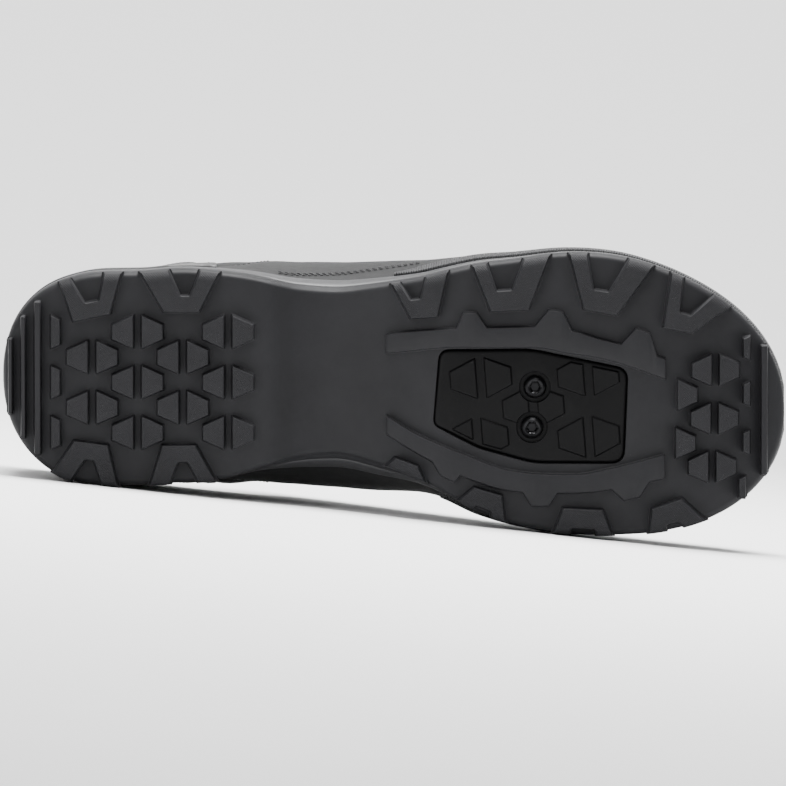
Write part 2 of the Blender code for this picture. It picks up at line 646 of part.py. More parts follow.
def cleat_cover(parts, cutters):
    outline = pocket_outline(GAP)
    bm = bmesh.new()
    add_prism(bm, outline, cover_face(), pocket_floor() - GAP)
    plate = new_object("cleat_cover", bm, parts, "cleat_cover")
    bm = bmesh.new()
    middle = (bolt_places()[0] + bolt_places()[1]) / 2
    pitch = Vector((TREAD_COLUMN_PITCH, TREAD_ROW_PITCH)) * COVER_LUG_SCALE
    turned = Matrix.Rotation(-COVER_LUG_TURN, 2)
    field = inset_polygon(outline, 2 * LUG_CHAMFER)
    for column, row in COVER_LUG_PLACES:
        place = middle + turned @ Vector((column * pitch.x / 2, row * pitch.y))
        for shape in split_hexagon(place.x, place.y, COVER_LUG_SCALE, "both", -COVER_LUG_TURN):
            shape = clipped_polygon(anticlockwise(shape), field)
            root = [cover_face() + LUG_CHAMFER] * 2
            tip = [cover_face() - COVER_LUG_HEIGHT] * 2
            add_block(bm, shape, root, tip, 0.5 * COVER_LUG_HEIGHT)
    cut(plate, new_object("cover_lugs", bm, cutters), "UNION")
    bm = bmesh.new()
    for place in bolt_places():
        add_drum(bm, place, COUNTERBORE_RADIUS, -LUG_HEIGHT, bolt_seat())
    cut(plate, new_object("counterbores", bm, cutters), "DIFFERENCE")
    bm = bmesh.new()
    for place in bolt_places():
        add_drum(bm, place, BOLT_SHANK_RADIUS + GAP, bolt_seat() - GAP, 2 * pocket_floor())
    cut(plate, new_object("cover_holes", bm, cutters), "DIFFERENCE")
    return plate


def cover_bolt(name, place, parts, cutters):
    """Button-head bolt: a low cone for the head, its shank and a hex socket."""
    seat = bolt_seat() - GAP
    face = seat - BOLT_HEAD_HEIGHT
    bm = bmesh.new()
    add_drum(bm, place, BOLT_FACE_RADIUS, face, seat, tip_radius=BOLT_HEAD_RADIUS)
    bolt = new_object(name, bm, parts, "bolt")
    bm = bmesh.new()
    add_drum(bm, place, BOLT_SHANK_RADIUS, seat - 0.3 * BOLT_HEAD_HEIGHT, seat + BOLT_SHANK_LENGTH)
    cut(bolt, new_object(f"{name}_shank", bm, cutters), "UNION")
    bm = bmesh.new()
    add_drum(bm, place, BOLT_SOCKET_FLATS / math.sqrt(3), face - GAP, face + BOLT_SOCKET_DEPTH, segments=6)
    cut(bolt, new_object(f"{name}_socket", bm, cutters), "DIFFERENCE")
    return bolt


def side_of(around):
    """The upper is walked round by one number: 0 at the heel, -1 to 0 lateral, 0 to 1 medial, +-1 the toe."""
    around = (around + 1) % 2 - 1
    return (LATERAL if around < 0 else MEDIAL), abs(around)


def arch_shares(rise, fullness):
    """How far out and up the arch of a section is: rise runs from 0 at the sole to 1 on the ridge."""
    angle = rise * math.pi / 2
    cosine, sine = max(math.cos(angle), 0.0), math.sin(angle)
    radius = (cosine**fullness + sine**fullness) ** (-1 / fullness)
    return radius * cosine, radius * sine


def skin_point(around, rise):
    """Outer face of the upper. A rise over 1 goes on down the other side."""
    if rise > 1:
        around, rise = -around, 2 - rise
    side, along = side_of(around)
    foot = Vector(edge_point(along, side, UPPER_INSET, 1.0))
    ridge = Vector((UPPER["ridge_along"](along) * SOLE_LENGTH, UPPER["ridge_side"](along) * BALL_WIDTH))
    out, up = arch_shares(abs(rise), UPPER["fullness"](along))
    column = "bulge_lateral" if side == LATERAL else "bulge_medial"
    bulge = UPPER[column](along) * BALL_WIDTH * math.sin(math.pi * min(abs(rise), 1))
    outward = foot - ridge
    place = ridge + outward * out + outward.normalized() * bulge
    base = feather_height(foot.x) + GAP
    return Vector((*place, base + (UPPER["ridge_height"](along) * INSTEP_HEIGHT - base) * up))


def skin_normal(around, rise):
    step = 0.004
    low, high = max(rise - step, 0.0), rise + step
    along_skin = skin_point(around + step, rise) - skin_point(around - step, rise)
    up_skin = skin_point(around, high) - skin_point(around, low)
    normal = along_skin.cross(up_skin).normalized()
    _, along = side_of(around)
    inside = Vector((UPPER["ridge_along"](along) * SOLE_LENGTH, UPPER["ridge_side"](along) * BALL_WIDTH,
                     0.6 * feather_height(along * SOLE_LENGTH)))
    return normal if normal.dot(skin_point(around, rise) - inside) > 0 else -normal


def skin_offset(around, rise, offset):
    """A point off the upper's outer face, outwards if the offset is above zero."""
    return skin_point(around, rise) + skin_normal(around, rise) * offset


def solve_rise(reached):
    """Lowest rise at which a test that grows with the rise is met, or 1."""
    low, high = 0.0, 1.0
    if not reached(high):
        return high
    for _ in range(24):
        middle = (low + high) / 2
        low, high = (low, middle) if reached(middle) else (middle, high)
    return high


def rise_at_height(around, height):
    return solve_rise(lambda rise: skin_point(around, rise).z >= height)


def rise_at_gap(around, gap):
    """Rise at which the skin is as close to its ridge line as the gap."""
    side, along = side_of(around)
    ridge = UPPER["ridge_side"](along) * BALL_WIDTH
    return solve_rise(lambda rise: side * (skin_point(around, rise).y - ridge) <= gap and rise > THROAT_LOWEST)


def wall_end(around):
    """Rise at which the wall of the upper ends: the collar, then the throat, then the closed ridge."""
    _, along = side_of(around)
    if along >= THROAT_FRONT:
        return 1.0
    collar = rise_at_height(around, UPPER["collar"](along) * HEEL_HEIGHT)
    if along < THROAT_BACK:
        return collar
    return min(collar, rise_at_gap(around, UPPER["gap"](along) * BALL_WIDTH))


def wall_thickness(along, share):
    """The wall with its padding, which swells towards the collar."""
    towards_edge = min(max((share - PAD_START) / (PAD_FULL - PAD_START), 0.0), 1.0)
    at_collar = min(max((COLLAR_FRONT - along) / COLLAR_FADE, 0.0), 1.0)
    swell = towards_edge**2 * (3 - 2 * towards_edge) * at_collar**2 * (3 - 2 * at_collar)
    return WALL + COLLAR_PAD * swell


def upper(parts):
    """The upper: an outer and an inner face joined at the foot and along collar and throat."""
    alongs = stations()
    arounds = [-along for along in alongs] + alongs[-2:0:-1]
    ends = [wall_end(around) for around in arounds]
    bm = bmesh.new()
    faces = {}
    for face in ("outer", "inner"):
        rows = []
        for row in range(UPPER_ROWS + 1):
            ring = []
            for around, end in zip(arounds, ends):
                share = row / UPPER_ROWS
                rise = end * share
                place = skin_point(around, rise)
                if face == "inner":
                    normal = skin_normal(around, rise)
                    if row == 0:
                        normal = Vector((normal.x, normal.y, 0)).normalized()
                    place = place - normal * wall_thickness(abs(around), share)
                ring.append(bm.verts.new(place))
            rows.append(ring)
        faces[face] = rows
    count = len(arounds)
    for rows in faces.values():
        for lower, higher in zip(rows, rows[1:]):
            bridge(bm, lower, higher)
    bridge(bm, faces["outer"][0], faces["inner"][0])
    outer, inner = faces["outer"][-1], faces["inner"][-1]
    crest = []
    for i, (around, end) in enumerate(zip(arounds, ends)):
        middle = (outer[i].co + inner[i].co) / 2
        upwards = (skin_point(around, end) - skin_point(around, end - 0.02)).normalized()
        crest.append(bm.verts.new(middle + upwards * wall_thickness(abs(around), 1.0) / 3))
    for i in range(count):
        j = (i + 1) % count
        if ends[i] < 1 or ends[j] < 1:
            bm.faces.new((outer[i], outer[j], crest[j], crest[i]))
            bm.faces.new((crest[i], crest[j], inner[j], inner[i]))
    for i, end in enumerate(ends):
        if end == 1:
            crest[i].co = outer[i].co
    return bm, faces, crest, ends


def close_vamp(bm, faces, crest, ends):
    """Sew the two sides together along the ridge of the vamp."""
    half = len(ends) // 2
    merge = {}
    for row in (faces["outer"][-1], faces["inner"][-1]):
        for i in range(1, half):
            if ends[i] == 1:
                merge[row[-i]] = row[i]
                row[i].co = (row[i].co + row[-i].co) / 2
    for i in range(len(ends)):
        if ends[i] == 1:
            merge[crest[i]] = merge.get(faces["outer"][-1][i], faces["outer"][-1][i])
    bmesh.ops.weld_verts(bm, targetmap=merge)
    loose = [vert for vert in bm.verts if not vert.link_faces]
    bmesh.ops.delete(bm, geom=loose, context="VERTS")


def sheet(name, parts, finish, columns, rows, place, lower, higher):
    """A closed sheet over a grid. place(column, share) gives a point of the skin's grid as (around, rise);
    lower and higher are its two faces, as offsets from the skin."""
    bm = bmesh.new()
    grids = []
    for offset in (lower, higher):
        grids.append([
            [bm.verts.new(skin_offset(*place(column, j / rows), offset)) for j in range(rows + 1)]
            for column in columns
        ])
    for grid in grids:
        for first, second in zip(grid, grid[1:]):
            bridge(bm, first, second, closed=False)
    below, above = grids
    rims = [
        (below[0], above[0]), (below[-1], above[-1]),
        ([line[0] for line in below], [line[0] for line in above]),
        ([line[-1] for line in below], [line[-1] for line in above]),
    ]
    for first, second in rims:
        bridge(bm, first, second, closed=False)
    return new_object(name, bm, parts, finish)


def tongue(parts):
    """A padded flap under the throat, from under the vamp to above the collar."""
    start, end = TONGUE_SPAN

    def place(turn, row):
        along = start + (end - start) * row
        half = UPPER["tongue"](along) * BALL_WIDTH
        around = -along if turn < 0 else along
        edge = rise_at_gap(around, half)
        rise = 1 - (1 - edge) * abs(turn)
        return around, rise

    outer = -(WALL + TONGUE_CLEARANCE)
    columns = np.linspace(-1, 1, TONGUE_COLUMNS)
    return sheet("tongue", parts, "tongue", columns, TONGUE_ROWS, place, outer - TONGUE_THICKNESS, outer)


def strap(name, parts):
    start, end, lateral_rise, medial_rise, sweep = STRAPS[name]

    def place(column, row):
        span = (1 - lateral_rise) + (1 - medial_rise)
        travelled = column * span
        lateral = travelled < 1 - lateral_rise
        rise = lateral_rise + travelled if lateral else 1 - (travelled - (1 - lateral_rise))
        swept = sweep * (1 - rise) / (1 - lateral_rise)
        along = start + (end - start) * row - (swept if lateral else -swept)
        return (-along if lateral else along), rise

    lower = GAP + FACET_ALLOWANCE
    columns = np.linspace(0, 1, STRAP_COLUMNS)
    return sheet(name, parts, "strap", columns, STRAP_ROWS, place, lower, lower + STRAP_THICKNESS)


def heel_counter(parts):
    """A stiff overlay round the heel, whose top edge falls away towards its front."""

    def place(around, row):
        forward = max(abs(around) - COUNTER_CREST, 0) / (COUNTER_FOOT - COUNTER_CREST)
        top = COUNTER_TOP * (1 - COUNTER_FALL * forward**2)
        return around, FOOT_RISE + (top - FOOT_RISE) * row

    reach = [along for along in stations() if along < COUNTER_FOOT] + [COUNTER_FOOT]
    columns = [-along for along in reach[::-1]] + reach[1:]
    lower = GAP + FACET_ALLOWANCE
    higher = lower + COUNTER_THICKNESS
    return sheet("heel_counter", parts, "heel_counter", columns, COUNTER_ROWS, place, lower, higher)


def rand(parts):
    """A strip along the foot of the upper, round the toe from one side to the other."""

    def place(around, row):
        along = side_of(around)[1]
        top = rise_at_height(around, feather_height(along * SOLE_LENGTH) + RAND_HEIGHT)
        return around, FOOT_RISE + (top - FOOT_RISE) * row

    lateral = [-along for along in stations() if along > RAND_START[LATERAL]]
    medial = [along - 2 for along in stations()[-2::-1] if along > RAND_START[MEDIAL]]
    lower = GAP + FACET_ALLOWANCE
    columns = [-RAND_START[LATERAL]] + lateral + medial + [RAND_START[MEDIAL] - 2]
    return sheet("rand", parts, "rand", columns, RAND_ROWS, place, lower, lower + RAND_THICKNESS)


def insole(parts):
    inset = UPPER_INSET + WALL + INSOLE_CLEARANCE
    return sole_layer("insole", parts, "insole", (
        (inset + 0.3 * INSOLE_THICKNESS, 0.85, lambda x: feather_height(x) + GAP),
        (inset, 0.85, lambda x: feather_height(x) + GAP + 0.3 * INSOLE_THICKNESS),
        (inset, 0.85, lambda x: feather_height(x) + GAP + INSOLE_THICKNESS),
    ))


def world_triangles(objects):
    """Each object's triangles as it stands, in the shoe's frame."""
    graph = bpy.context.evaluated_depsgraph_get()
    for obj in objects:
        mesh = obj.evaluated_get(graph).to_mesh()
        mesh.calc_loop_triangles()
        points = [vert.co.copy() for vert in mesh.vertices]
        yield obj, [tuple(points[i] for i in triangle.vertices) for triangle in mesh.loop_triangles]
        obj.evaluated_get(graph).to_mesh_clear()


def lying_pose(objects):
    """The turn and shift that lay the shoe on the three points of its medial side that carry its weight,
    with the origin under the middle of its box."""
    bpy.context.view_layer.update()
    hull = bmesh.new()
    weighed, weight = Vector(), 0.0
    corners = []
    for obj, triangles in world_triangles(objects):
        finish = next(name for name in FINISHES if name in obj.name)
        for a, b, c in triangles:
            mass = a.dot(b.cross(c)) / 6 * FINISHES[finish][3]
            weighed += (a + b + c) / 4 * mass
            weight += mass
            corners += (a, b, c)
    balance = weighed / weight
    for corner in corners:
        hull.verts.new(corner)
    bmesh.ops.remove_doubles(hull, verts=hull.verts, dist=1e-6)
    bmesh.ops.convex_hull(hull, input=hull.verts)
    best, down = None, None
    for face in hull.faces:
        normal = face.normal if face.normal.dot(face.calc_center_median() - balance) > 0 else -face.normal
        if normal.y < 0.5:
            continue
        foot = balance + normal * (face.verts[0].co - balance).dot(normal)
        sides = [
            (b.co - a.co).cross(foot - a.co).dot(normal)
            for a, b in zip(face.verts, face.verts[1:] + face.verts[:1])
        ]
        spread = min(max(sides), -min(sides)) / face.calc_area()
        if best is None or spread < best:
            best, down = spread, normal.copy()
    hull.free()
    up = -down
    ahead = (Vector((1, 0, 0)) - up * up.x).normalized()
    turn = Matrix((ahead, up.cross(ahead), up)).to_4x4()
    turned = np.array([turn @ corner for corner in corners])
    low, high = turned.min(axis=0), turned.max(axis=0)
    shift = Vector((-(low[0] + high[0]) / 2, -(low[1] + high[1]) / 2, -low[2]))
    return Matrix.Translation(shift) @ turn


def main():
    for obj in list(bpy.data.objects):
        bpy.data.objects.remove(obj)
    parts = bpy.data.collections.new("cycling_shoe")
    cutters = bpy.data.collections.new("cutters")
    for collection in (parts, cutters):
        bpy.context.scene.collection.children.link(collection)
    outsole(parts, cutters)
    midsole(parts)
    cleat_cover(parts, cutters)
    for name, place in zip(("cover_bolt_lateral", "cover_bolt_medial"), bolt_places()):
        cover_bolt(name, place, parts, cutters)
    insole(parts)
    bm, faces, crest, ends = upper(parts)
    close_vamp(bm, faces, crest, ends)
    new_object("upper", bm, parts, "upper")
    tongue(parts)
    heel_counter(parts)
    rand(parts)
    for name in STRAPS:
        strap(name, parts)

    pose = bpy.data.objects.new("lying_pose", None)
    parts.objects.link(pose)
    pieces = [obj for obj in parts.objects if obj.type == "MESH"]
    matrix = lying_pose(pieces)
    for obj in pieces + list(cutters.objects):
        obj.parent = pose
    pose.matrix_world = matrix
    bpy.context.view_layer.update()


main()
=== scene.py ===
"""Right-foot cycling shoe lying on its medial side, dressed over its solid model.

Pieces are shaped in the shoe's own frame, in metres: +X from heel to toe, +Y towards the medial side and +Z
up from the plane of the lugs. lying_pose() then lays them where the solid model lies.
"""

import json
import math

import bmesh
import bpy
import numpy as np
from bpy.props import FloatProperty, FloatVectorProperty, PointerProperty
from mathutils import Matrix, Vector


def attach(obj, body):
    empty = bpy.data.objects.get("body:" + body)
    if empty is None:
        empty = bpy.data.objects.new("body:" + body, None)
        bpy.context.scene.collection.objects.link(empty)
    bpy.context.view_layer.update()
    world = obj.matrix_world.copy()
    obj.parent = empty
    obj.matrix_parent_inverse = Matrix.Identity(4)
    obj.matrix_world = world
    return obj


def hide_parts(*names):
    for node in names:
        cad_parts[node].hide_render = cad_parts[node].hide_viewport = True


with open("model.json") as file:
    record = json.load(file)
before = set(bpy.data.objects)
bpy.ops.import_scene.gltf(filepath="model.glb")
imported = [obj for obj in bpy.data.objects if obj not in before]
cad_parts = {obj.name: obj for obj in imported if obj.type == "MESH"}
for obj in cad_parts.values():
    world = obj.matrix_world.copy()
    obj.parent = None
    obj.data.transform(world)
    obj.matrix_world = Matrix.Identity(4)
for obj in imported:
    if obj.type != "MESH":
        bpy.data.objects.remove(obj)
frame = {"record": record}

bl_info = {
    "name": "Cycling shoe",
    "version": (1, 0, 0),
    "blender": (4, 5, 0),
    "location": "View3D > Sidebar > Shoe",
    "description": "Dresses the solid model of a cycling shoe with its tread, upper, seams and finishes",
    "category": "Object",
}

# Sizes of the solid model
SOLE_LENGTH = 0.270
BALL_WIDTH = 0.0985
LUG_HEIGHT = 0.0045
ARCH_RISE = 0.0085
TOE_SPRING = 0.0150
HEEL_BEVEL = 0.0040
OUTSOLE_BODY = 0.0095
MIDSOLE_HEEL = 0.0115
HEEL_ROUNDING = 0.037
TOE_ROUNDING = 0.076
END_POWER = 2.2
HEEL_HEIGHT = 0.094
INSTEP_HEIGHT = 0.112
WALL = 0.0022
COLLAR_PAD = 0.0030
UPPER_INSET = 0.0012
GAP = 0.0003
INSOLE_THICKNESS = 0.0040
INSOLE_CLEARANCE = 0.0006
TONGUE_THICKNESS = 0.0045
TONGUE_CLEARANCE = 0.0014
STRAP_THICKNESS = 0.0018
COUNTER_THICKNESS = 0.0012
RAND_THICKNESS = 0.0012
RAND_HEIGHT = 0.0075
EDGE_BEVEL = 0.0022
LUG_OVERHANG = 0.0002
RAIL_HEIGHT = 0.0028
TREAD_LUG_DEPTH = 0.0078
TREAD_LUG_LONG = 0.0121
TREAD_LUG_SHORT = 0.0052
TREAD_SPLIT = 0.0024
TREAD_ROW_PITCH = 0.00868
TREAD_COLUMN_PITCH = 0.0156
TOE_LUG_SCALE = 0.94
TOE_ROW_PITCH = 0.00835
TOE_STUB_DEPTH = 0.0028
TOE_STUB_SHORT = 0.0066
TOE_STUB_LONG = 0.0088
POCKET_DEPTH = 0.0040
COVER_RECESS = 0.0012
COVER_LUG_HEIGHT = 0.0008
COVER_LUG_SCALE = 1.19
COVER_LUG_TURN = math.radians(4.5)
COVER_LUG_CORNER = 0.0004
COVER_LUG_FILLET = 0.0002
BOLT_SPACING = 0.0140
BOLT_ALONG = 0.6775
BOLT_ACROSS = 0.052
BOLT_TURN = math.radians(4.2)
BOLT_HEAD_RADIUS = 0.0040
BOLT_HEAD_HEIGHT = 0.0022
BOLT_SHANK_RADIUS = 0.0025
BOLT_SHANK_LENGTH = 0.0052
BOLT_SOCKET_FLATS = 0.0040
BOLT_SOCKET_DEPTH = 0.0013
COUNTERBORE_RADIUS = 0.00525
COUNTERBORE_DEPTH = 0.0010
LATERAL, MEDIAL = -1, 1
STRAIGHT = math.radians(84)
CORNER_MERGE = 0.00008

# One row for each station of the sole, in shares of the sole length, ball width, rises and thicknesses.
SOLE_COLUMNS = ("along", "centre", "half", "flare_lateral", "flare_medial",
                "arch", "spring", "bevel", "outsole", "midsole")
SOLE_SECTIONS = (
    (0.000, -0.058, 0.375, 0.000, 0.000, 0.00, 0.00, 1.00, 0.95, 1.00),
    (0.040, -0.052, 0.375, 0.000, 0.000, 0.00, 0.00, 0.35, 0.97, 1.00),
    (0.090, -0.045, 0.375, 0.000, 0.000, 0.00, 0.00, 0.00, 1.00, 1.00),
    (0.170, -0.047, 0.375, 0.000, 0.000, 0.00, 0.00, 0.00, 1.00, 1.00),
    (0.225, -0.056, 0.376, 0.000, 0.000, 0.00, 0.00, 0.00, 1.00, 1.00),
    (0.280, -0.058, 0.364, 0.004, 0.006, 0.00, 0.00, 0.00, 1.00, 0.97),
    (0.335, -0.068, 0.328, 0.014, 0.022, 0.06, 0.00, 0.00, 0.88, 0.90),
    (0.380, -0.068, 0.296, 0.026, 0.046, 0.72, 0.00, 0.00, 0.50, 0.80),
    (0.425, -0.067, 0.286, 0.030, 0.055, 1.00, 0.00, 0.00, 0.36, 0.72),
    (0.480, -0.058, 0.313, 0.022, 0.045, 0.84, 0.00, 0.00, 0.45, 0.62),
    (0.535, -0.044, 0.355, 0.014, 0.020, 0.30, 0.00, 0.00, 0.66, 0.50),
    (0.570, -0.032, 0.394, 0.010, 0.010, 0.05, 0.00, 0.00, 0.75, 0.45),
    (0.610, -0.014, 0.436, 0.008, 0.004, 0.00, 0.00, 0.00, 0.80, 0.42),
    (0.660, 0.000, 0.468, 0.003, 0.000, 0.00, 0.00, 0.00, 0.80, 0.40),
    (0.720, 0.004, 0.492, 0.000, 0.000, 0.00, 0.00, 0.00, 0.80, 0.40),
    (0.780, 0.011, 0.498, 0.000, 0.000, 0.00, 0.03, 0.00, 0.79, 0.40),
    (0.840, 0.028, 0.500, 0.000, 0.000, 0.00, 0.13, 0.00, 0.76, 0.41),
    (0.900, 0.047, 0.500, 0.000, 0.000, 0.00, 0.33, 0.00, 0.74, 0.43),
    (0.950, 0.061, 0.500, 0.000, 0.000, 0.00, 0.60, 0.00, 0.74, 0.46),
    (1.000, 0.075, 0.500, 0.000, 0.000, 0.00, 1.00, 0.00, 0.76, 0.50),
)

# One row for each section of the upper, in shares of the sole length, ball width and heights.
UPPER_COLUMNS = ("along", "ridge_along", "ridge_side", "ridge_height", "fullness",
                 "bulge_lateral", "bulge_medial", "collar", "gap", "tongue")
UPPER_SECTIONS = (
    (0.00, 0.130, -0.045, 1.020, 2.40, 0.000, 0.020, 1.000, 0.30, 0.27),
    (0.05, 0.145, -0.045, 1.020, 2.40, 0.000, 0.020, 0.990, 0.30, 0.27),
    (0.10, 0.170, -0.045, 1.020, 2.40, -0.012, 0.018, 0.940, 0.30, 0.27),
    (0.17, 0.215, -0.045, 1.020, 2.40, -0.014, 0.030, 0.835, 0.30, 0.27),
    (0.24, 0.265, -0.040, 1.020, 2.30, 0.010, 0.060, 0.780, 0.30, 0.27),
    (0.30, 0.312, -0.030, 1.010, 2.20, 0.055, 0.110, 0.805, 0.28, 0.24),
    (0.36, 0.365, -0.020, 0.960, 2.15, 0.100, 0.150, 0.980, 0.17, 0.215),
    (0.43, 0.432, -0.012, 0.880, 2.10, 0.118, 0.165, 1.300, 0.15, 0.22),
    (0.50, 0.500, 0.000, 0.790, 2.10, 0.112, 0.135, 1.300, 0.13, 0.22),
    (0.58, 0.578, 0.012, 0.690, 2.10, 0.080, 0.080, 1.300, 0.11, 0.21),
    (0.66, 0.655, 0.025, 0.600, 2.15, 0.050, 0.045, 1.300, 0.085, 0.17),
    (0.72, 0.712, 0.035, 0.545, 2.20, 0.035, 0.035, 1.300, 0.060, 0.13),
    (0.80, 0.785, 0.048, 0.500, 2.30, 0.025, 0.028, 1.300, 0.000, 0.10),
    (0.87, 0.845, 0.056, 0.475, 2.40, 0.020, 0.022, 1.300, 0.000, 0.08),
    (0.94, 0.892, 0.062, 0.462, 2.50, 0.018, 0.018, 1.300, 0.000, 0.08),
    (1.00, 0.915, 0.066, 0.452, 2.60, 0.015, 0.015, 1.300, 0.000, 0.08),
)
THROAT_BACK = 0.330
THROAT_FRONT = 0.735
TONGUE_SPAN = (0.315, 0.765)

# One row for each notched lug of the edge: side, start, end, in_start, in_end, deep_start, deep_end and its
# notch as cut_start, cut_end, cut_in_start, cut_in_end, cut_depth.
EDGE_LUGS = (
    (LATERAL, 0.073, 0.155, 0.091, 0.140, 0.160, 0.148, 0.18, 0.70, 0.34, 0.67, 0.64),
    (LATERAL, 0.175, 0.280, 0.206, 0.253, 0.150, 0.150, 0.37, 0.74, 0.49, 0.71, 0.62),
    (MEDIAL, 0.063, 0.150, 0.092, 0.137, 0.152, 0.150, 0.29, 0.74, 0.34, 0.56, 0.60),
    (MEDIAL, 0.187, 0.275, 0.204, 0.248, 0.143, 0.138, 0.32, 0.72, 0.50, 0.74, 0.55),
    (LATERAL, 0.495, 0.570, 0.520, 0.556, 0.137, 0.154, 0.16, 0.60, 0.05, 0.35, 0.50),
    (LATERAL, 0.598, 0.700, 0.622, 0.672, 0.175, 0.186, 0.20, 0.65, 0.18, 0.54, 0.58),
    (LATERAL, 0.721, 0.832, 0.740, 0.784, 0.200, 0.211, 0.23, 0.70, 0.33, 0.73, 0.62),
    (LATERAL, 0.852, 0.930, 0.841, 0.880, 0.210, 0.183, 0.22, 0.72, 0.60, 0.92, 0.66),
    (MEDIAL, 0.487, 0.542, 0.501, 0.531, 0.048, 0.052, 0.00, 0.00, 0.00, 0.00, 0.00),
    (MEDIAL, 0.579, 0.643, 0.601, 0.638, 0.084, 0.095, 0.31, 0.69, 0.10, 0.59, 0.25),
    (MEDIAL, 0.701, 0.780, 0.714, 0.766, 0.095, 0.095, 0.28, 0.72, 0.24, 0.78, 0.25),
    (MEDIAL, 0.823, 0.900, 0.827, 0.867, 0.091, 0.109, 0.31, 0.62, 0.52, 0.87, 0.24),
)
# The rails beside the cleat pocket: share of the sole length, outer side and inner side.
RAILS = {
    LATERAL: (
        (0.489, -0.198, -0.134), (0.500, -0.207, -0.137), (0.581, -0.225, -0.158), (0.680, -0.232, -0.157),
        (0.726, -0.218, -0.136), (0.761, -0.190, -0.121), (0.795, -0.165, -0.096), (0.846, -0.118, -0.045),
    ),
    MEDIAL: (
        (0.490, 0.150, 0.082), (0.525, 0.208, 0.140), (0.593, 0.300, 0.218), (0.646, 0.343, 0.270),
        (0.688, 0.352, 0.284), (0.730, 0.352, 0.286), (0.779, 0.340, 0.263), (0.845, 0.302, 0.218),
    ),
}
# Blocks on the outer side of each rail: foot_start, start, end, foot_end as shares of the length, and out
RAIL_BLOCKS = {
    LATERAL: (
        (0.579, 0.588, 0.605, 0.618, 0.054), (0.679, 0.697, 0.715, 0.727, 0.061),
        (0.789, 0.808, 0.826, 0.835, 0.072),
    ),
    MEDIAL: (
        (0.549, 0.559, 0.577, 0.584, 0.032), (0.664, 0.675, 0.697, 0.708, 0.046),
        (0.778, 0.793, 0.813, 0.825, 0.044),
    ),
}
# Corners of the cleat pocket: shares of the length and of the ball width, and a radius
POCKET_CORNERS = (
    (0.557, -0.151, 0.0042), (0.675, -0.153, 0.0300), (0.799, -0.084, 0.0050), (0.794, 0.251, 0.0050),
    (0.677, 0.249, 0.0300), (0.608, 0.197, 0.0200), (0.549, 0.116, 0.0036),
)
# Bars across heel and toe: start, end and how far short of the edge they stop
CROSS_RIBS = (
    (0.0073, 0.0138, 0.030), (0.0236, 0.0307, 0.028), (0.0410, 0.0503, 0.026), (0.968, 0.9776, 0.012),
)
HEEL_ROWS = 5
HEEL_MIDDLE = -0.0368
HEEL_FIRST_SPLIT = 0.0576
HEEL_COLUMNS = ((0, 2, 4), (1, 3))
HEEL_STUB = 0.0036
TOE_MIDDLE = 0.093
TOE_LUGS = (
    (-2, 0.9100, "both"), (0, 0.9087, "both"), (2, 0.9058, "both"),
    (-1, 0.8562, "front"), (1, 0.8538, "front"),
    (-2.9, 0.9763, "stub"), (-1, 0.9763, "stub"), (1, 0.9760, "stub"), (2.9, 0.9707, "stub"),
)
COVER_LUG_PLACES = ((-1.86, -1.10), (-2.15, 0.90), (0.00, 0.00), (2.12, -0.90), (1.97, 1.14))
# Straps: start and end along the throat, rise of each end, and how far forward they sweep
STRAPS = {
    "strap_front": (0.655, 0.700, 0.56, 0.70, 0.012),
    "strap_middle": (0.555, 0.612, 0.52, 0.70, 0.016),
    "strap_top": (0.425, 0.505, 0.50, 0.70, 0.020),
}
COUNTER_FOOT = 0.270
COUNTER_CREST = 0.150
COUNTER_TOP = 0.30
FOOT_RISE = 0.01
RAND_START = {LATERAL: 0.500, MEDIAL: 0.560}

# Marks on the sole in the shoe's own frame, which the solid model names where it lies
HEEL_MARK = (0.051072, -0.003625, 0.0)
FOREFOOT_MARK = (0.169560, -0.028461, 0.0)

# Padding of the collar: its depth below the edge as a rise, how far it swells, how deep its seam is and where
# it runs, and the share of the length at which the padding has ended and over which it fades
COLLAR_BAND = 0.16
COLLAR_PUFF = 0.0012
COLLAR_SEAM = 0.0007
COLLAR_SEAM_PLACE = 1.25
PADDED_BACK = 0.33
PADDED_FADE = 0.06

# Dressing of the upper: how far the overlays stand off, the toe cap, the throat's facings and the seams
OVERLAY = GAP + 0.0002
STRAP_FACE = STRAP_THICKNESS - 0.0004
TOE_CAP_REACH = 0.155
TOE_CAP_TOP = 0.78
TOE_CAP_THICKNESS = 0.0007
FACING_START = 0.350
FACING_END = THROAT_FRONT - 0.008
FACING_WIDTH = 0.10
FACING_THICKNESS = 0.0004
LOW_SEAM_START = 0.352
LOW_SEAM_LENGTH = 0.178

# How moulded edges bend, from the wall to the face: share of the radius outwards or inwards, and downwards
FILLET_CURVE = ((1.0, 0.0), (0.42, 0.16), (0.10, 0.52), (0.0, 1.0))
SHOULDER_CURVE = ((0.0, 1.0), (0.12, 0.55), (0.42, 0.18), (1.0, 0.0))
# How far lugs are sunk into the tread and how far a rail narrows to its top, the flat rim of a lug's tip and
# the grid that cuts it
LUG_SUNK = 0.0006
EDGE_LUG_SUNK = 0.0028
RAIL_DRAFT = 0.0002
TIP_RIM = 0.00012
TIP_GRID = 0.0008

# Flex creases of the vamp: share of the length at the ridge and at the foot, depth and half width
CREASES = (
    (0.742, 0.800, 0.0009, 0.0040), (0.765, 0.845, 0.0006, 0.0030), (0.715, 0.742, 0.0007, 0.0034),
)


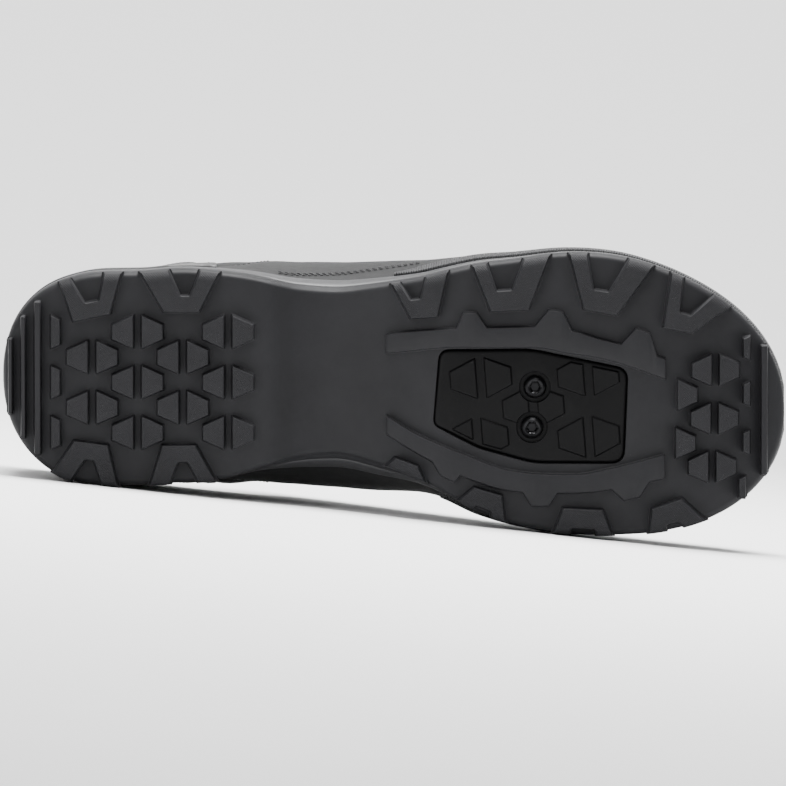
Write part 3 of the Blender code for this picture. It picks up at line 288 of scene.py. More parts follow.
def smooth_curve(rows, column):
    """Monotone cubic through one column of a table, read at one place or at many."""
    places = np.array([row[0] for row in rows])
    values = np.array([row[column] for row in rows])
    steps = np.diff(places)
    slopes = np.diff(values) / steps
    tangents = np.zeros(len(places))
    tangents[0], tangents[-1] = slopes[0], slopes[-1]
    for i in range(1, len(places) - 1):
        before, after = slopes[i - 1], slopes[i]
        if before * after > 0:
            near, far = 2 * steps[i] + steps[i - 1], steps[i] + 2 * steps[i - 1]
            tangents[i] = (near + far) / (near / before + far / after)

    def at(place):
        place = np.clip(place, places[0], places[-1])
        i = np.clip(np.searchsorted(places, place, side="right") - 1, 0, len(steps) - 1)
        t = (place - places[i]) / steps[i]
        rise = values[i + 1] - values[i]
        start, end = tangents[i] * steps[i], tangents[i + 1] * steps[i]
        return values[i] + start * t + (3 * rise - 2 * start - end) * t**2 + (start + end - 2 * rise) * t**3

    return at


SOLE = {name: smooth_curve(SOLE_SECTIONS, i) for i, name in enumerate(SOLE_COLUMNS) if i}
UPPER = {name: smooth_curve(UPPER_SECTIONS, i) for i, name in enumerate(UPPER_COLUMNS) if i}


def smoothstep(low, high, value):
    t = np.clip((value - low) / (high - low), 0.0, 1.0)
    return t * t * (3 - 2 * t)


def tread_height(x):
    """Underside of the outsole between its lugs."""
    along = x / SOLE_LENGTH
    rises = ARCH_RISE * SOLE["arch"](along) + TOE_SPRING * SOLE["spring"](along)
    return LUG_HEIGHT + rises + HEEL_BEVEL * SOLE["bevel"](along)


def outsole_top(x):
    return tread_height(x) + OUTSOLE_BODY * SOLE["outsole"](x / SOLE_LENGTH)


def feather_height(x):
    """Top of the midsole, where the upper stands."""
    return outsole_top(x) + GAP + MIDSOLE_HEEL * SOLE["midsole"](x / SOLE_LENGTH)


def end_round(along):
    heel = np.maximum(0.0, 1 - along * SOLE_LENGTH / HEEL_ROUNDING)
    toe = np.maximum(0.0, 1 - (1 - along) * SOLE_LENGTH / TOE_ROUNDING)
    return ((1 - heel**END_POWER) * (1 - toe**END_POWER)) ** (1 / END_POWER)


def edge_point(along, side, inset=0.0, flare=0.0):
    """Point of the sole's outline, drawn in by an inset and let out by a share of the flare."""
    flares = np.where(side < 0, SOLE["flare_lateral"](along), SOLE["flare_medial"](along))
    out = (SOLE["half"](along) + flare * flares) * BALL_WIDTH - inset
    x = inset + along * (SOLE_LENGTH - 2 * inset)
    return x, SOLE["centre"](along) * BALL_WIDTH + side * out * end_round(along)


def stations(count):
    """Shares of the length, close together at both ends."""
    return 0.5 * (1 - np.cos(np.pi * np.arange(count + 1) / count))


def skin_point(around, rise):
    """Outer face of the upper. around is 0 at the heel, -1 to 0 lateral, 0 to 1 medial and +-1 at the toe.
    rise is 0 at the sole and 1 on the ridge, and goes on down the other side. Both may be arrays."""
    around, rise = np.broadcast_arrays(np.asarray(around, float), np.asarray(rise, float))
    around = np.where(rise > 1, -around, around)
    rise = np.where(rise > 1, 2 - rise, rise)
    around = (around + 1) % 2 - 1
    side = np.where(around < 0, LATERAL, MEDIAL)
    along = np.abs(around)
    foot_x, foot_y = edge_point(along, side, UPPER_INSET, 1.0)
    ridge_x, ridge_y = UPPER["ridge_along"](along) * SOLE_LENGTH, UPPER["ridge_side"](along) * BALL_WIDTH
    fullness = UPPER["fullness"](along)
    angle = np.abs(rise) * np.pi / 2
    cosine, sine = np.maximum(np.cos(angle), 0.0), np.sin(angle)
    radius = (cosine**fullness + sine**fullness) ** (-1 / fullness)
    bulges = np.where(side < 0, UPPER["bulge_lateral"](along), UPPER["bulge_medial"](along))
    bulge = bulges * BALL_WIDTH * np.sin(np.pi * np.minimum(np.abs(rise), 1))
    out_x, out_y = foot_x - ridge_x, foot_y - ridge_y
    length = np.hypot(out_x, out_y)
    base = feather_height(foot_x) + GAP
    return np.stack((
        ridge_x + out_x * (radius * cosine + bulge / length),
        ridge_y + out_y * (radius * cosine + bulge / length),
        base + (UPPER["ridge_height"](along) * INSTEP_HEIGHT - base) * radius * sine,
    ), axis=-1)


def skin_normal(around, rise):
    step = 0.004
    along_skin = skin_point(around + step, rise) - skin_point(around - step, rise)
    up_skin = skin_point(around, rise + step) - skin_point(around, np.maximum(rise - step, 0.0))
    normal = np.cross(along_skin, up_skin)
    length = np.linalg.norm(normal, axis=-1, keepdims=True)
    normal = np.where(length > 0, normal, (0, 0, 1)) / np.where(length > 0, length, 1)
    along = np.abs((np.asarray(around) + 1) % 2 - 1)
    inside = np.stack(np.broadcast_arrays(
        UPPER["ridge_along"](along) * SOLE_LENGTH, UPPER["ridge_side"](along) * BALL_WIDTH,
        0.6 * feather_height(along * SOLE_LENGTH)), axis=-1)
    outward = np.sum(normal * (skin_point(around, rise) - inside), axis=-1, keepdims=True)
    return np.where(outward > 0, normal, -normal)


def solve_rise(reached, shape):
    """Lowest rise at which a test that grows with the rise is met, or 1, for many places at once."""
    low, high = np.zeros(shape), np.ones(shape)
    never = ~reached(high)
    for _ in range(26):
        middle = (low + high) / 2
        met = reached(middle)
        low, high = np.where(met, low, middle), np.where(met, middle, high)
    return np.where(never, 1.0, high)


def rise_at_height(around, height):
    around = np.asarray(around, float)
    return solve_rise(lambda rise: skin_point(around, rise)[..., 2] >= height, around.shape)


def rise_at_gap(around, gap):
    """Rise at which the skin is as close to its ridge line as the gap."""
    around = np.asarray(around, float)
    side, along = np.where(around < 0, LATERAL, MEDIAL), np.abs(around)
    ridge = UPPER["ridge_side"](along) * BALL_WIDTH
    return solve_rise(
        lambda rise: (side * (skin_point(around, rise)[..., 1] - ridge) <= gap) & (rise > 0.3), around.shape)


def wall_end(around):
    """Rise at which the wall of the upper ends: the collar, then the throat, then the closed ridge."""
    along = np.abs(around)
    collar = rise_at_height(around, UPPER["collar"](along) * HEEL_HEIGHT)
    throat = np.minimum(collar, rise_at_gap(around, UPPER["gap"](along) * BALL_WIDTH))
    return np.where(along >= THROAT_FRONT, 1.0, np.where(along < THROAT_BACK, collar, throat))


def wall_thickness(along, share):
    """The wall with its padding, which swells towards the collar."""
    return WALL + COLLAR_PAD * smoothstep(0.55, 0.90, share) * smoothstep(0.0, 1.0, (0.315 - along) / 0.07)


def crease_depth(along, rise):
    """How far the vamp dips at its flex creases, with a softer ridge beside each."""
    depth = np.zeros(np.broadcast(along, rise).shape)
    for top, foot, deep, half in CREASES:
        line = foot + (top - foot) * np.clip(rise, 0, 1) ** 1.4
        off = (along - line) * SOLE_LENGTH / half
        fade = smoothstep(0.10, 0.45, rise)
        depth += deep * fade * (np.exp(-off**2) - 0.45 * np.exp(-((np.abs(off) - 1.9) ** 2) / 0.8))
    return depth


def relief(around, rise, crease=1.0):
    """How far the dressed skin stands off the plain one: creases at the vamp, padding below the collar."""
    along = np.abs((np.asarray(around, float) + 1) % 2 - 1)
    end = np.interp(along, COLLAR_LINE[0], COLLAR_LINE[1])
    below = (end - rise) / COLLAR_BAND
    padded = smoothstep(0.0, 1.0, (PADDED_BACK - along) / PADDED_FADE)
    puff = COLLAR_PUFF * np.exp(-((below - 0.55) / 0.40) ** 2)
    dip = COLLAR_SEAM * np.exp(-((below - COLLAR_SEAM_PLACE) / 0.16) ** 2)
    return padded * (puff - dip) - crease * crease_depth(along, rise)


def dressed_point(around, rise, offset):
    """A point off the upper's dressed skin, outwards if the offset is above zero."""
    away = np.asarray(offset + relief(around, rise))[..., None]
    return skin_point(around, rise) + skin_normal(around, rise) * away


# Where the collar ends on the arch, for its padding: shares of the length and rises
COLLAR_PLACES = np.linspace(0, 0.34, 35)
COLLAR_LINE = (COLLAR_PLACES, (wall_end(-COLLAR_PLACES) + wall_end(COLLAR_PLACES)) / 2)


def lying_pose():
    """Turn and shift from the shoe's own frame to the way the solid model lies."""
    marks = {mount["name"]: mount for mount in frame["record"]["mounts"]}
    up = -Vector(marks["heel_tread"]["axis"]).normalized()
    heel, forefoot = (Vector(marks[name]["pos_m"]) for name in ("heel_tread", "forefoot_tread"))
    own = Vector(FOREFOOT_MARK) - Vector(HEEL_MARK)
    laid = forefoot - heel
    laid -= up * laid.dot(up)
    ahead = (Matrix.Rotation(-math.atan2(own.y, own.x), 3, up) @ laid).normalized()
    turn = Matrix((ahead, up.cross(ahead), up)).transposed()
    return Matrix.Translation(heel - turn @ Vector(HEEL_MARK)) @ turn.to_4x4()


POSE = lying_pose()


class Mould:
    """Points and faces of one piece, gathered in the shoe's own frame, with a flat map for its patterns."""

    def __init__(self):
        self.points, self.maps, self.faces, self.kinds = [], [], [], []

    def row(self, places, maps=None):
        """Adds points and gives their numbers. Without a map of their own they take their plan view."""
        start = len(self.points)
        for i, place in enumerate(places):
            self.points.append(tuple(place))
            self.maps.append(tuple(maps[i]) if maps is not None else (place[0], place[1]))
        return list(range(start, len(self.points)))

    def face(self, corners, kind=0):
        corners = list(dict.fromkeys(corners))
        if len(corners) > 2:
            self.faces.append(corners)
            self.kinds.append(kind)

    def bridge(self, first, second, closed=True, kind=0):
        count = len(first) if closed else len(first) - 1
        for i in range(count):
            j = (i + 1) % len(first)
            self.face((first[i], first[j], second[j], second[i]), kind)

    def ladder(self, ring, kind=0):
        """Closes a ring that runs heel, lateral side, toe, medial side with faces across the sole."""
        half = len(ring) // 2
        lateral, medial = ring[: half + 1], [ring[0]] + ring[:half:-1] + [ring[half]]
        for i in range(half):
            self.face((lateral[i], lateral[i + 1], medial[i + 1], medial[i]), kind)

    def object(self, name, materials, sharp=38):
        mesh = bpy.data.meshes.new(name)
        mesh.from_pydata(self.points, [], self.faces)
        mesh.polygons.foreach_set("material_index", self.kinds)
        layer = mesh.uv_layers.new(name="flat")
        corners = np.empty(len(mesh.loops), dtype=np.int32)
        mesh.loops.foreach_get("vertex_index", corners)
        layer.data.foreach_set("uv", np.array(self.maps, dtype=np.float32)[corners].ravel())
        bm = bmesh.new()
        bm.from_mesh(mesh)
        loose = [vert for vert in bm.verts if not vert.link_faces]
        bmesh.ops.delete(bm, geom=loose, context="VERTS")
        bmesh.ops.recalc_face_normals(bm, faces=bm.faces)
        bm.to_mesh(mesh)
        bm.free()
        mesh.transform(POSE)
        mesh.shade_smooth()
        mesh.set_sharp_from_angle(angle=math.radians(sharp))
        for material in materials:
            mesh.materials.append(material)
        obj = bpy.data.objects.new(name, mesh)
        bpy.context.scene.collection.objects.link(obj)
        return obj


def settle(obj, slot, *nodes):
    """The piece rides on the shoe and stands for its solid. The slot is not used."""
    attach(obj, "root")
    if nodes:
        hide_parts(*nodes)


def carve(obj, cutter):
    """Cuts one shape out of another and drops the cutter."""
    modifier = obj.modifiers.new("cut", "BOOLEAN")
    modifier.operation = "DIFFERENCE"
    modifier.solver = "EXACT"
    modifier.object = cutter
    bpy.context.view_layer.update()
    graph = bpy.context.evaluated_depsgraph_get()
    made = bpy.data.meshes.new_from_object(obj.evaluated_get(graph))
    old = obj.data
    obj.modifiers.clear()
    obj.data = made
    bpy.data.meshes.remove(old)
    bpy.data.objects.remove(cutter)


def join(first, *others):
    """Puts the other objects' meshes into the first one's."""
    bm = bmesh.new()
    for obj in (first, *others):
        bm.from_mesh(obj.data)
    bm.to_mesh(first.data)
    bm.free()
    for obj in others:
        bpy.data.objects.remove(obj)


def anticlockwise(points):
    area = sum(a[0] * b[1] - b[0] * a[1] for a, b in zip(points, points[1:] + points[:1]))
    return points if area > 0 else points[::-1]


def inset_polygon(points, inset):
    """The polygon with each side moved inwards. Its corners run anticlockwise."""
    moved = []
    for i, corner in enumerate(points):
        before, after = Vector(points[i - 1]), Vector(points[(i + 1) % len(points)])
        into, out = (Vector(corner) - before).normalized(), (after - Vector(corner)).normalized()
        middle = Vector((-into.y, into.x)) + Vector((-out.y, out.x))
        moved.append(Vector(corner) + middle * (2 * inset / max(middle.length_squared, 0.5)))
    return [tuple(point) for point in moved]


def rounded_polygon(corners, segments=4):
    """Corners given as (x, y, radius), each turned into an arc. One without a radius stays as it is."""
    points = []
    for i, (x, y, radius) in enumerate(corners):
        corner = Vector((x, y))
        back = Vector(corners[i - 1][:2]) - corner
        ahead = Vector(corners[(i + 1) % len(corners)][:2]) - corner
        if not radius:
            points.append((x, y))
            continue
        half_angle = max(back.angle(ahead) / 2, 0.05)
        run = min(radius / math.tan(half_angle), 0.45 * back.length, 0.45 * ahead.length)
        start, end = corner + back.normalized() * run, corner + ahead.normalized() * run
        for step in range(segments + 1):
            t = step / segments
            points.append(tuple((1 - t) ** 2 * start + 2 * t * (1 - t) * corner + t**2 * end))
    return points


def without_doubles(points):
    """The outline without corners that nearly meet."""
    return [
        point for i, point in enumerate(points)
        if math.hypot(point[0] - points[i - 1][0], point[1] - points[i - 1][1]) > CORNER_MERGE
    ]


def clipped_polygon(points, clip):
    """The part of a polygon inside a convex one. Both run anticlockwise."""
    for a, b in zip(clip, clip[1:] + clip[:1]):
        depths = [(b[0] - a[0]) * (p[1] - a[1]) - (b[1] - a[1]) * (p[0] - a[0]) for p in points]
        kept = []
        for i, p in enumerate(points):
            q, depth, following = points[(i + 1) % len(points)], depths[i], depths[(i + 1) % len(points)]
            if depth >= 0:
                kept.append(p)
            if (depth >= 0) != (following >= 0):
                share = depth / (depth - following)
                kept.append((p[0] + share * (q[0] - p[0]), p[1] + share * (q[1] - p[1])))
        points = kept
    return points


def split_hexagon(x, y, scale, halves, turn=0.0):
    """Outlines of a hexagonal lug that a groove splits in two, about the groove's middle."""
    long, short = TREAD_LUG_LONG * scale / 2, TREAD_LUG_SHORT * scale / 2
    near, far = TREAD_SPLIT * scale / 2, TREAD_SPLIT * scale / 2 + TREAD_LUG_DEPTH * scale
    back = [(-near, -long), (-near, long), (-far, short), (-far, -short)]
    front = [(-px, py) for px, py in back]
    cut_side = long + (short - long) * HEEL_STUB / (far - near)
    front_stub = [(near, -long), (near, long), (near + HEEL_STUB, cut_side), (near + HEEL_STUB, -cut_side)]
    narrow, wide, deep = TOE_STUB_SHORT / 2, TOE_STUB_LONG / 2, -far + TOE_STUB_DEPTH
    toe_stub = [(-far, -narrow), (-far, narrow), (deep, wide), (deep, -wide)]
    shapes = {"both": (back, front), "front": (front,), "front_stub": (front_stub,), "stub": (toe_stub,)}
    turned = Matrix.Rotation(turn, 2)
    return [[tuple(turned @ Vector(p) + Vector((x, y))) for p in shape] for shape in shapes[halves]]


def edge_lug(side, start, end, in_start, in_end, deep_start, deep_end,
             cut_start, cut_end, cut_in_start, cut_in_end, cut_depth):
    """Outline of a lug that reaches in from the sole's edge, with its notch."""

    def point(along, depth):
        x, y = edge_point(along, side, -LUG_OVERHANG)
        return float(x), float(y - side * depth * BALL_WIDTH)

    def run(first, last, count=6):
        return [point(first + (last - first) * i / count, 0) for i in range(1, count)]

    outline = [point(start, 0), point(in_start, deep_start), point(in_end, deep_end), point(end, 0)]
    if cut_depth:
        inner = [deep_start + (deep_end - deep_start) * share for share in (cut_in_start, cut_in_end)]
        outer = [start + (end - start) * share for share in (cut_end, cut_start)]
        places = [in_start + (in_end - in_start) * share for share in (cut_in_end, cut_in_start)]
        outline += run(end, outer[0], 3) + [
            point(outer[0], 0), point(places[0], cut_depth * inner[1]),
            point(places[1], cut_depth * inner[0]), point(outer[1], 0),
        ] + run(outer[1], start, 3)
    else:
        outline += run(end, start)
    return outline


def cross_rib(start, end, stop):
    """Outline of a bar across the sole."""
    middle = (start + end) / 2
    outline = []
    for along, side in ((start, LATERAL), (end, LATERAL), (end, MEDIAL), (start, MEDIAL)):
        _, y = edge_point(middle, side)
        outline.append((along * SOLE_LENGTH, float(y) - side * stop * BALL_WIDTH))
    return outline


def edge_distance(x, y):
    """How far inside the sole's outline a place is, across the sole."""
    along = np.clip(x / SOLE_LENGTH, 0, 1)
    distances = [side * (edge_point(along, side)[1] - y) for side in (LATERAL, MEDIAL)]
    return np.minimum(*distances)


def add_lug(mould, outline, settings, root, tip, kind, corner=None, fillet=None, sunk=LUG_SUNK):
    """A moulded lug: a fillet at its root, a drafted wall, a rounded shoulder and a flat tip. root gives
    the tread's height at any x and tip the tip's height at the lug's first and last x. No ring hangs out
    over the sole's edge by more than a little, and the first is sunk into the tread."""
    corner = settings.corner_radius if corner is None else corner
    fillet = settings.root_fillet if fillet is None else fillet
    outline = anticlockwise(without_doubles(outline))
    low, high = min(p[0] for p in outline), max(p[0] for p in outline)
    shoulder, draft = settings.lug_rounding, settings.lug_draft
    bends = []
    for i, here in enumerate(outline):
        before, after = Vector(outline[i - 1]), Vector(outline[(i + 1) % len(outline)])
        into, out = Vector(here) - before, after - Vector(here)
        bends.append(into.angle_signed(out))
    height = float(root((low + high) / 2)) - (tip[0] + tip[1]) / 2

    def ring(outset, rise, drop):
        """A ring grown by outset, at a rise over the root or, if drop is given, that far behind the tip."""
        corners = []
        for (x, y), bend in zip(inset_polygon(outline, -outset), bends):
            sharp = abs(bend) > math.pi - 2 * STRAIGHT
            grown = corner + outset if bend < 0 else corner - outset
            corners.append((x, y, max(grown, 0.00008) if sharp else 0.0))
        places = np.array(rounded_polygon(corners, 3))
        centre = SOLE["centre"](places[:, 0] / SOLE_LENGTH) * BALL_WIDTH
        side = np.where(places[:, 1] < centre, LATERAL, MEDIAL)
        places[:, 1] -= side * np.maximum(-edge_distance(*places.T) - LUG_OVERHANG, 0)
        x = np.clip(places[:, 0], low, high)
        tips = tip[0] + (tip[1] - tip[0]) * (x - low) / (high - low)
        z = root(x) + rise if drop is None else tips + drop
        return mould.row(np.column_stack((places, z)))

    rings = [ring(fillet, sunk, None)]
    rings += [ring(out * fillet, -down * fillet, None) for out, down in FILLET_CURVE]
    for drop in (0.0024, 0.0016, 0.0010):
        if drop < height - 1.5 * fillet:
            rings.append(ring(-draft * (1 - drop / height), None, drop))
    rings += [ring(-draft - into * shoulder, None, down * shoulder) for into, down in SHOULDER_CURVE]
    rings.append(ring(-draft - shoulder - TIP_RIM, None, 0.0))
    for lower, upper in zip(rings, rings[1:]):
        mould.bridge(lower, upper, kind=kind if upper is rings[-1] else 0)
    mould.face(rings[0])
    mould.face(rings[-1], kind)


def cut_tips(obj, pitch):
    """Cuts the flat tips of lugs along a grid, so that they can be bent."""
    bm = bmesh.new()
    bm.from_mesh(obj.data)
    bmesh.ops.remove_doubles(bm, verts=bm.verts, dist=0.000002)
    inward = POSE.to_3x3()
    for axis, spacing in ((Vector((0, 1, 0)), pitch), (Vector((1, 0, 0)), 3 * pitch)):
        normal = inward @ axis
        for step in range(math.ceil(SOLE_LENGTH / spacing) + 1):
            place = step * spacing - (0.0 if axis.x else SOLE_LENGTH / 2)
            crossed = []
            for face in bm.faces:
                if face.material_index == 1:
                    sides = [(vert.co - POSE @ (axis * place)).dot(normal) for vert in face.verts]
                    if min(sides) < 0 < max(sides):
                        crossed.append(face)
            if crossed:
                edges = {edge for face in crossed for edge in face.edges}
                verts = {vert for face in crossed for vert in face.verts}
                bmesh.ops.bisect_plane(bm, geom=[*crossed, *edges, *verts], plane_co=POSE @ (axis * place),
                                       plane_no=normal, dist=0.00002)
    bm.to_mesh(obj.data)
    bm.free()


def round_over(obj, radius):
    """Bends the ends of the lugs round the sole's edge: their height falls off over the radius."""
    mesh = obj.data
    places = np.empty(3 * len(mesh.vertices))
    mesh.vertices.foreach_get("co", places)
    turn, shift = np.array(POSE.to_3x3()), np.array(POSE.translation)
    x, y, z = ((places.reshape(-1, 3) - shift) @ turn).T
    root = tread_height(x)
    near = np.clip(1 - (edge_distance(x, y) + LUG_OVERHANG) / radius, 0, 1)
    z = z + radius * (1 - np.sqrt(1 - near**2)) * np.clip((root - z) / LUG_HEIGHT, 0, 1)
    mesh.vertices.foreach_set("co", (np.stack((x, y, z), axis=-1) @ turn.T + shift).ravel())
    mesh.update()


def add_tread_lug(mould, outline, settings, kind=1, corner=None, sunk=LUG_SUNK):
    ends = min(p[0] for p in outline), max(p[0] for p in outline)
    tip = [max(float(tread_height(x)) - LUG_HEIGHT, 0.0) for x in ends]
    add_lug(mould, outline, settings, tread_height, tip, kind, corner, sunk=sunk)


def add_rail(mould, side, settings):
    """A raised rail beside the pocket, with drafted blocks on its outer side."""
    rows = RAILS[side]
    outer_line, inner_line = smooth_curve(rows, 1), smooth_curve(rows, 2)
    bumps = [(rows[0][0], 0.0)]
    for foot_start, start, end, foot_end, out in RAIL_BLOCKS[side]:
        bumps += [(foot_start, 0.0), (start, out), (end, out), (foot_end, 0.0)]
    bumps.append((rows[-1][0], 0.0))
    places = {place for place, _ in bumps}
    for (first, _), (last, _) in zip(bumps, bumps[1:]):
        count = max(1, round((last - first) / 0.006))
        places.update(first + (last - first) * i / count for i in range(count))
    near = settings.lug_rounding / SOLE_LENGTH
    start, end = rows[0][0], rows[-1][0]
    places.update((start + 0.3 * near, start + near, end - near, end - 0.3 * near))
    fillet, shoulder = settings.root_fillet, settings.lug_rounding
    rings = []
    for place in sorted(places):
        x = place * SOLE_LENGTH
        bump = float(np.interp(place, [b[0] for b in bumps], [b[1] for b in bumps]))
        outer = (float(outer_line(place)) + side * bump) * BALL_WIDTH
        inner = float(inner_line(place)) * BALL_WIDTH
        root = float(tread_height(x))
        from_end = min(place - start, end - place) / near
        dip = RAIL_HEIGHT - shoulder * (1 - min(from_end, 1.0)) ** 2
        tip = root - dip
        half = [(side * fillet, root + LUG_SUNK)]
        half += [(out * side * fillet, root - down * fillet) for out, down in FILLET_CURVE]
        half += [(-side * (RAIL_DRAFT + into * shoulder), tip + down * shoulder)
                 for into, down in SHOULDER_CURVE]
        section = [(outer + out, z) for out, z in half] + [(inner - out, z) for out, z in reversed(half)]
        rings.append(mould.row([(x, y, z) for y, z in section]))
    for first, second in zip(rings, rings[1:]):
        mould.bridge(first, second)
    mould.face(rings[0])
    mould.face(rings[-1])


def pocket_outline(inset, segments=6):
    corners = [(x * SOLE_LENGTH, y * BALL_WIDTH, radius) for x, y, radius in POCKET_CORNERS]
    return inset_polygon(anticlockwise(rounded_polygon(corners, segments)), inset)


def pocket_floor():
    return LUG_HEIGHT + POCKET_DEPTH


def cover_face():
    return LUG_HEIGHT + COVER_RECESS


def bolt_seat():
    return cover_face() + COUNTERBORE_DEPTH


def bolt_places():
    """Middle of each bolt, lateral first."""
    middle = Vector((BOLT_ALONG * SOLE_LENGTH, BOLT_ACROSS * BALL_WIDTH))
    across = Vector((-math.sin(BOLT_TURN), math.cos(BOLT_TURN))) * BOLT_SPACING / 2
    return middle - across, middle + across


def turned_rings(mould, place, profile, painted_glint=-1, count=48):
    """Rings about an upright axis from rows of (radius, height, share of a hexagon). The band after the ring
    numbered by the fourth argument takes the second finish: on the bolts a lighter steel, painted highlight
    in the socket."""
    rings = []
    for radius, height, hexagon in profile:
        ring = []
        for i in range(count):
            angle = 2 * math.pi * i / count
            corner = (angle % (math.pi / 3)) - math.pi / 6
            reach = radius * (1 - hexagon + hexagon * math.cos(math.pi / 6) / math.cos(corner))
            ring.append((place[0] + reach * math.cos(angle), place[1] + reach * math.sin(angle), height))
        rings.append(mould.row(ring))
    for number, (lower, upper) in enumerate(zip(rings, rings[1:])):
        mould.bridge(lower, upper, kind=int(number == painted_glint))
    mould.face(rings[0])
    mould.face(rings[-1])


def prism(name, rings):
    """A closed cutter from rings of (outline, height)."""
    mould = Mould()
    rows = [mould.row([(x, y, height) for x, y in outline]) for outline, height in rings]
    for lower, upper in zip(rows, rows[1:]):
        mould.bridge(lower, upper)
    mould.face(rows[0])
    mould.face(rows[-1])
    return mould.object(name, ())


def sole_ring(mould, inset, flare, height, count):
    alongs = stations(count)
    lateral = edge_point(alongs, LATERAL, inset, flare)
    medial = edge_point(alongs[-2:0:-1], MEDIAL, inset, flare)
    xs, ys = np.concatenate((lateral[0], medial[0])), np.concatenate((lateral[1], medial[1]))
    return mould.row(list(zip(xs, ys, height(xs))))


def sole_layer(mould, rings, count=150):
    """A layer of the sole from its rings, listed from the underside up as (inset, flare, height)."""
    made = [sole_ring(mould, *ring, count) for ring in rings]
    for lower, upper in zip(made, made[1:]):
        mould.bridge(lower, upper)
    mould.ladder(made[0])
    mould.ladder(made[-1])


def border_lines(count, length, rim):
    """Shares across a sheet of that length, close together at its rims."""
    near = rim / length
    inner = np.linspace(near, 1 - near, count)
    return np.concatenate(([0, 0.12 * near, 0.45 * near], inner, [1 - 0.45 * near, 1 - 0.12 * near, 1]))


def run_lengths(points, axis):
    """Distance walked along one axis of a grid of points."""
    steps = np.linalg.norm(np.diff(points, axis=axis), axis=-1)
    pad = [(0, 0), (0, 0)]
    pad[axis] = (1, 0)
    return np.cumsum(np.pad(steps, pad), axis=axis)


def sheet(mould, place, size, counts, lower, thickness, rim):
    """A closed sheet over the skin with rounded rims. place(u, v) gives (around, rise) for shares from 0 to 1
    and size is its rough length and width."""
    u, v = np.meshgrid(
        border_lines(counts[0], size[0], rim), border_lines(counts[1], size[1], rim), indexing="ij")
    around, rise = place(u, v)
    base = dressed_point(around, rise, lower)
    along_u, along_v = run_lengths(base, 0), run_lengths(base, 1)
    from_edge = np.minimum(
        np.minimum(along_u, along_u[-1:] - along_u), np.minimum(along_v, along_v[:, -1:] - along_v))
    round_off = np.sqrt(1 - (1 - np.minimum(from_edge / rim, 1)) ** 2)
    top = dressed_point(around, rise, lower + thickness * round_off)
    maps = np.stack((along_u, along_v), axis=-1)
    close_sheet(mould, (base, top), (maps, maps))


def close_sheet(mould, grids, maps):
    """Two grids of points that meet along their rims."""
    below, above = (
        [mould.row(points, flat) for points, flat in zip(grid, flats)] for grid, flats in zip(grids, maps))
    for i, row in enumerate(above):
        for j in range(len(row)):
            if i in (0, len(above) - 1) or j in (0, len(row) - 1):
                row[j] = below[i][j]
    for rows in (below, above):
        for first, second in zip(rows, rows[1:]):
            mould.bridge(first, second, closed=False)


def seam(guides, around, rise, offset):
    """Adds a line of stitches that follows the skin."""
    around, rise = np.broadcast_arrays(np.asarray(around, float), np.asarray(rise, float))
    guides.append((dressed_point(around, rise, offset), skin_normal(around, rise)))


def stitch_tree():
    """Stitches set along the edges of a guide mesh, standing on its skin_normal."""
    tree = bpy.data.node_groups.new("stitches", "GeometryNodeTree")
    face = tree.interface
    face.new_socket("Geometry", in_out="INPUT", socket_type="NodeSocketGeometry")
    for name in ("Pitch", "Length", "Thread"):
        face.new_socket(name, in_out="INPUT", socket_type="NodeSocketFloat")
    face.new_socket("Material", in_out="INPUT", socket_type="NodeSocketMaterial")
    face.new_socket("Geometry", in_out="OUTPUT", socket_type="NodeSocketGeometry")
    given = tree.nodes.new("NodeGroupInput").outputs
    curve = add_node(tree, "GeometryNodeMeshToCurve", {"Mesh": given["Geometry"]}).outputs["Curve"]
    even = add_node(
        tree, "GeometryNodeResampleCurve", {"Curve": curve, "Length": given["Pitch"]}, mode="LENGTH")
    ball = add_node(tree, "GeometryNodeMeshUVSphere", {"Segments": 8, "Rings": 4, "Radius": 0.5})
    sizes = add_node(
        tree, "ShaderNodeCombineXYZ", {"X": given["Length"], "Y": given["Thread"], "Z": given["Thread"]})
    stitch = add_node(
        tree, "GeometryNodeTransform", {"Geometry": ball.outputs["Mesh"], "Scale": sizes.outputs["Vector"]})
    normal = add_node(
        tree, "GeometryNodeInputNamedAttribute", {"Name": "skin_normal"}, data_type="FLOAT_VECTOR")
    tangent = tree.nodes.new("GeometryNodeInputTangent").outputs["Tangent"]
    turn = add_node(
        tree, "FunctionNodeAxesToRotation",
        {"Primary Axis": normal.outputs["Attribute"], "Secondary Axis": tangent},
        primary_axis="Z", secondary_axis="X").outputs["Rotation"]
    placed = add_node(
        tree, "GeometryNodeInstanceOnPoints",
        {"Points": even.outputs["Curve"], "Instance": stitch.outputs["Geometry"], "Rotation": turn})
    made = add_node(tree, "GeometryNodeRealizeInstances", {"Geometry": placed.outputs["Instances"]})
    smooth = add_node(tree, "GeometryNodeSetShadeSmooth", {"Geometry": made.outputs["Geometry"]})
    dressed = add_node(
        tree, "GeometryNodeSetMaterial",
        {"Geometry": smooth.outputs["Geometry"], "Material": given["Material"]})
    tree.links.new(dressed.outputs["Geometry"], tree.nodes.new("NodeGroupOutput").inputs["Geometry"])
    return tree


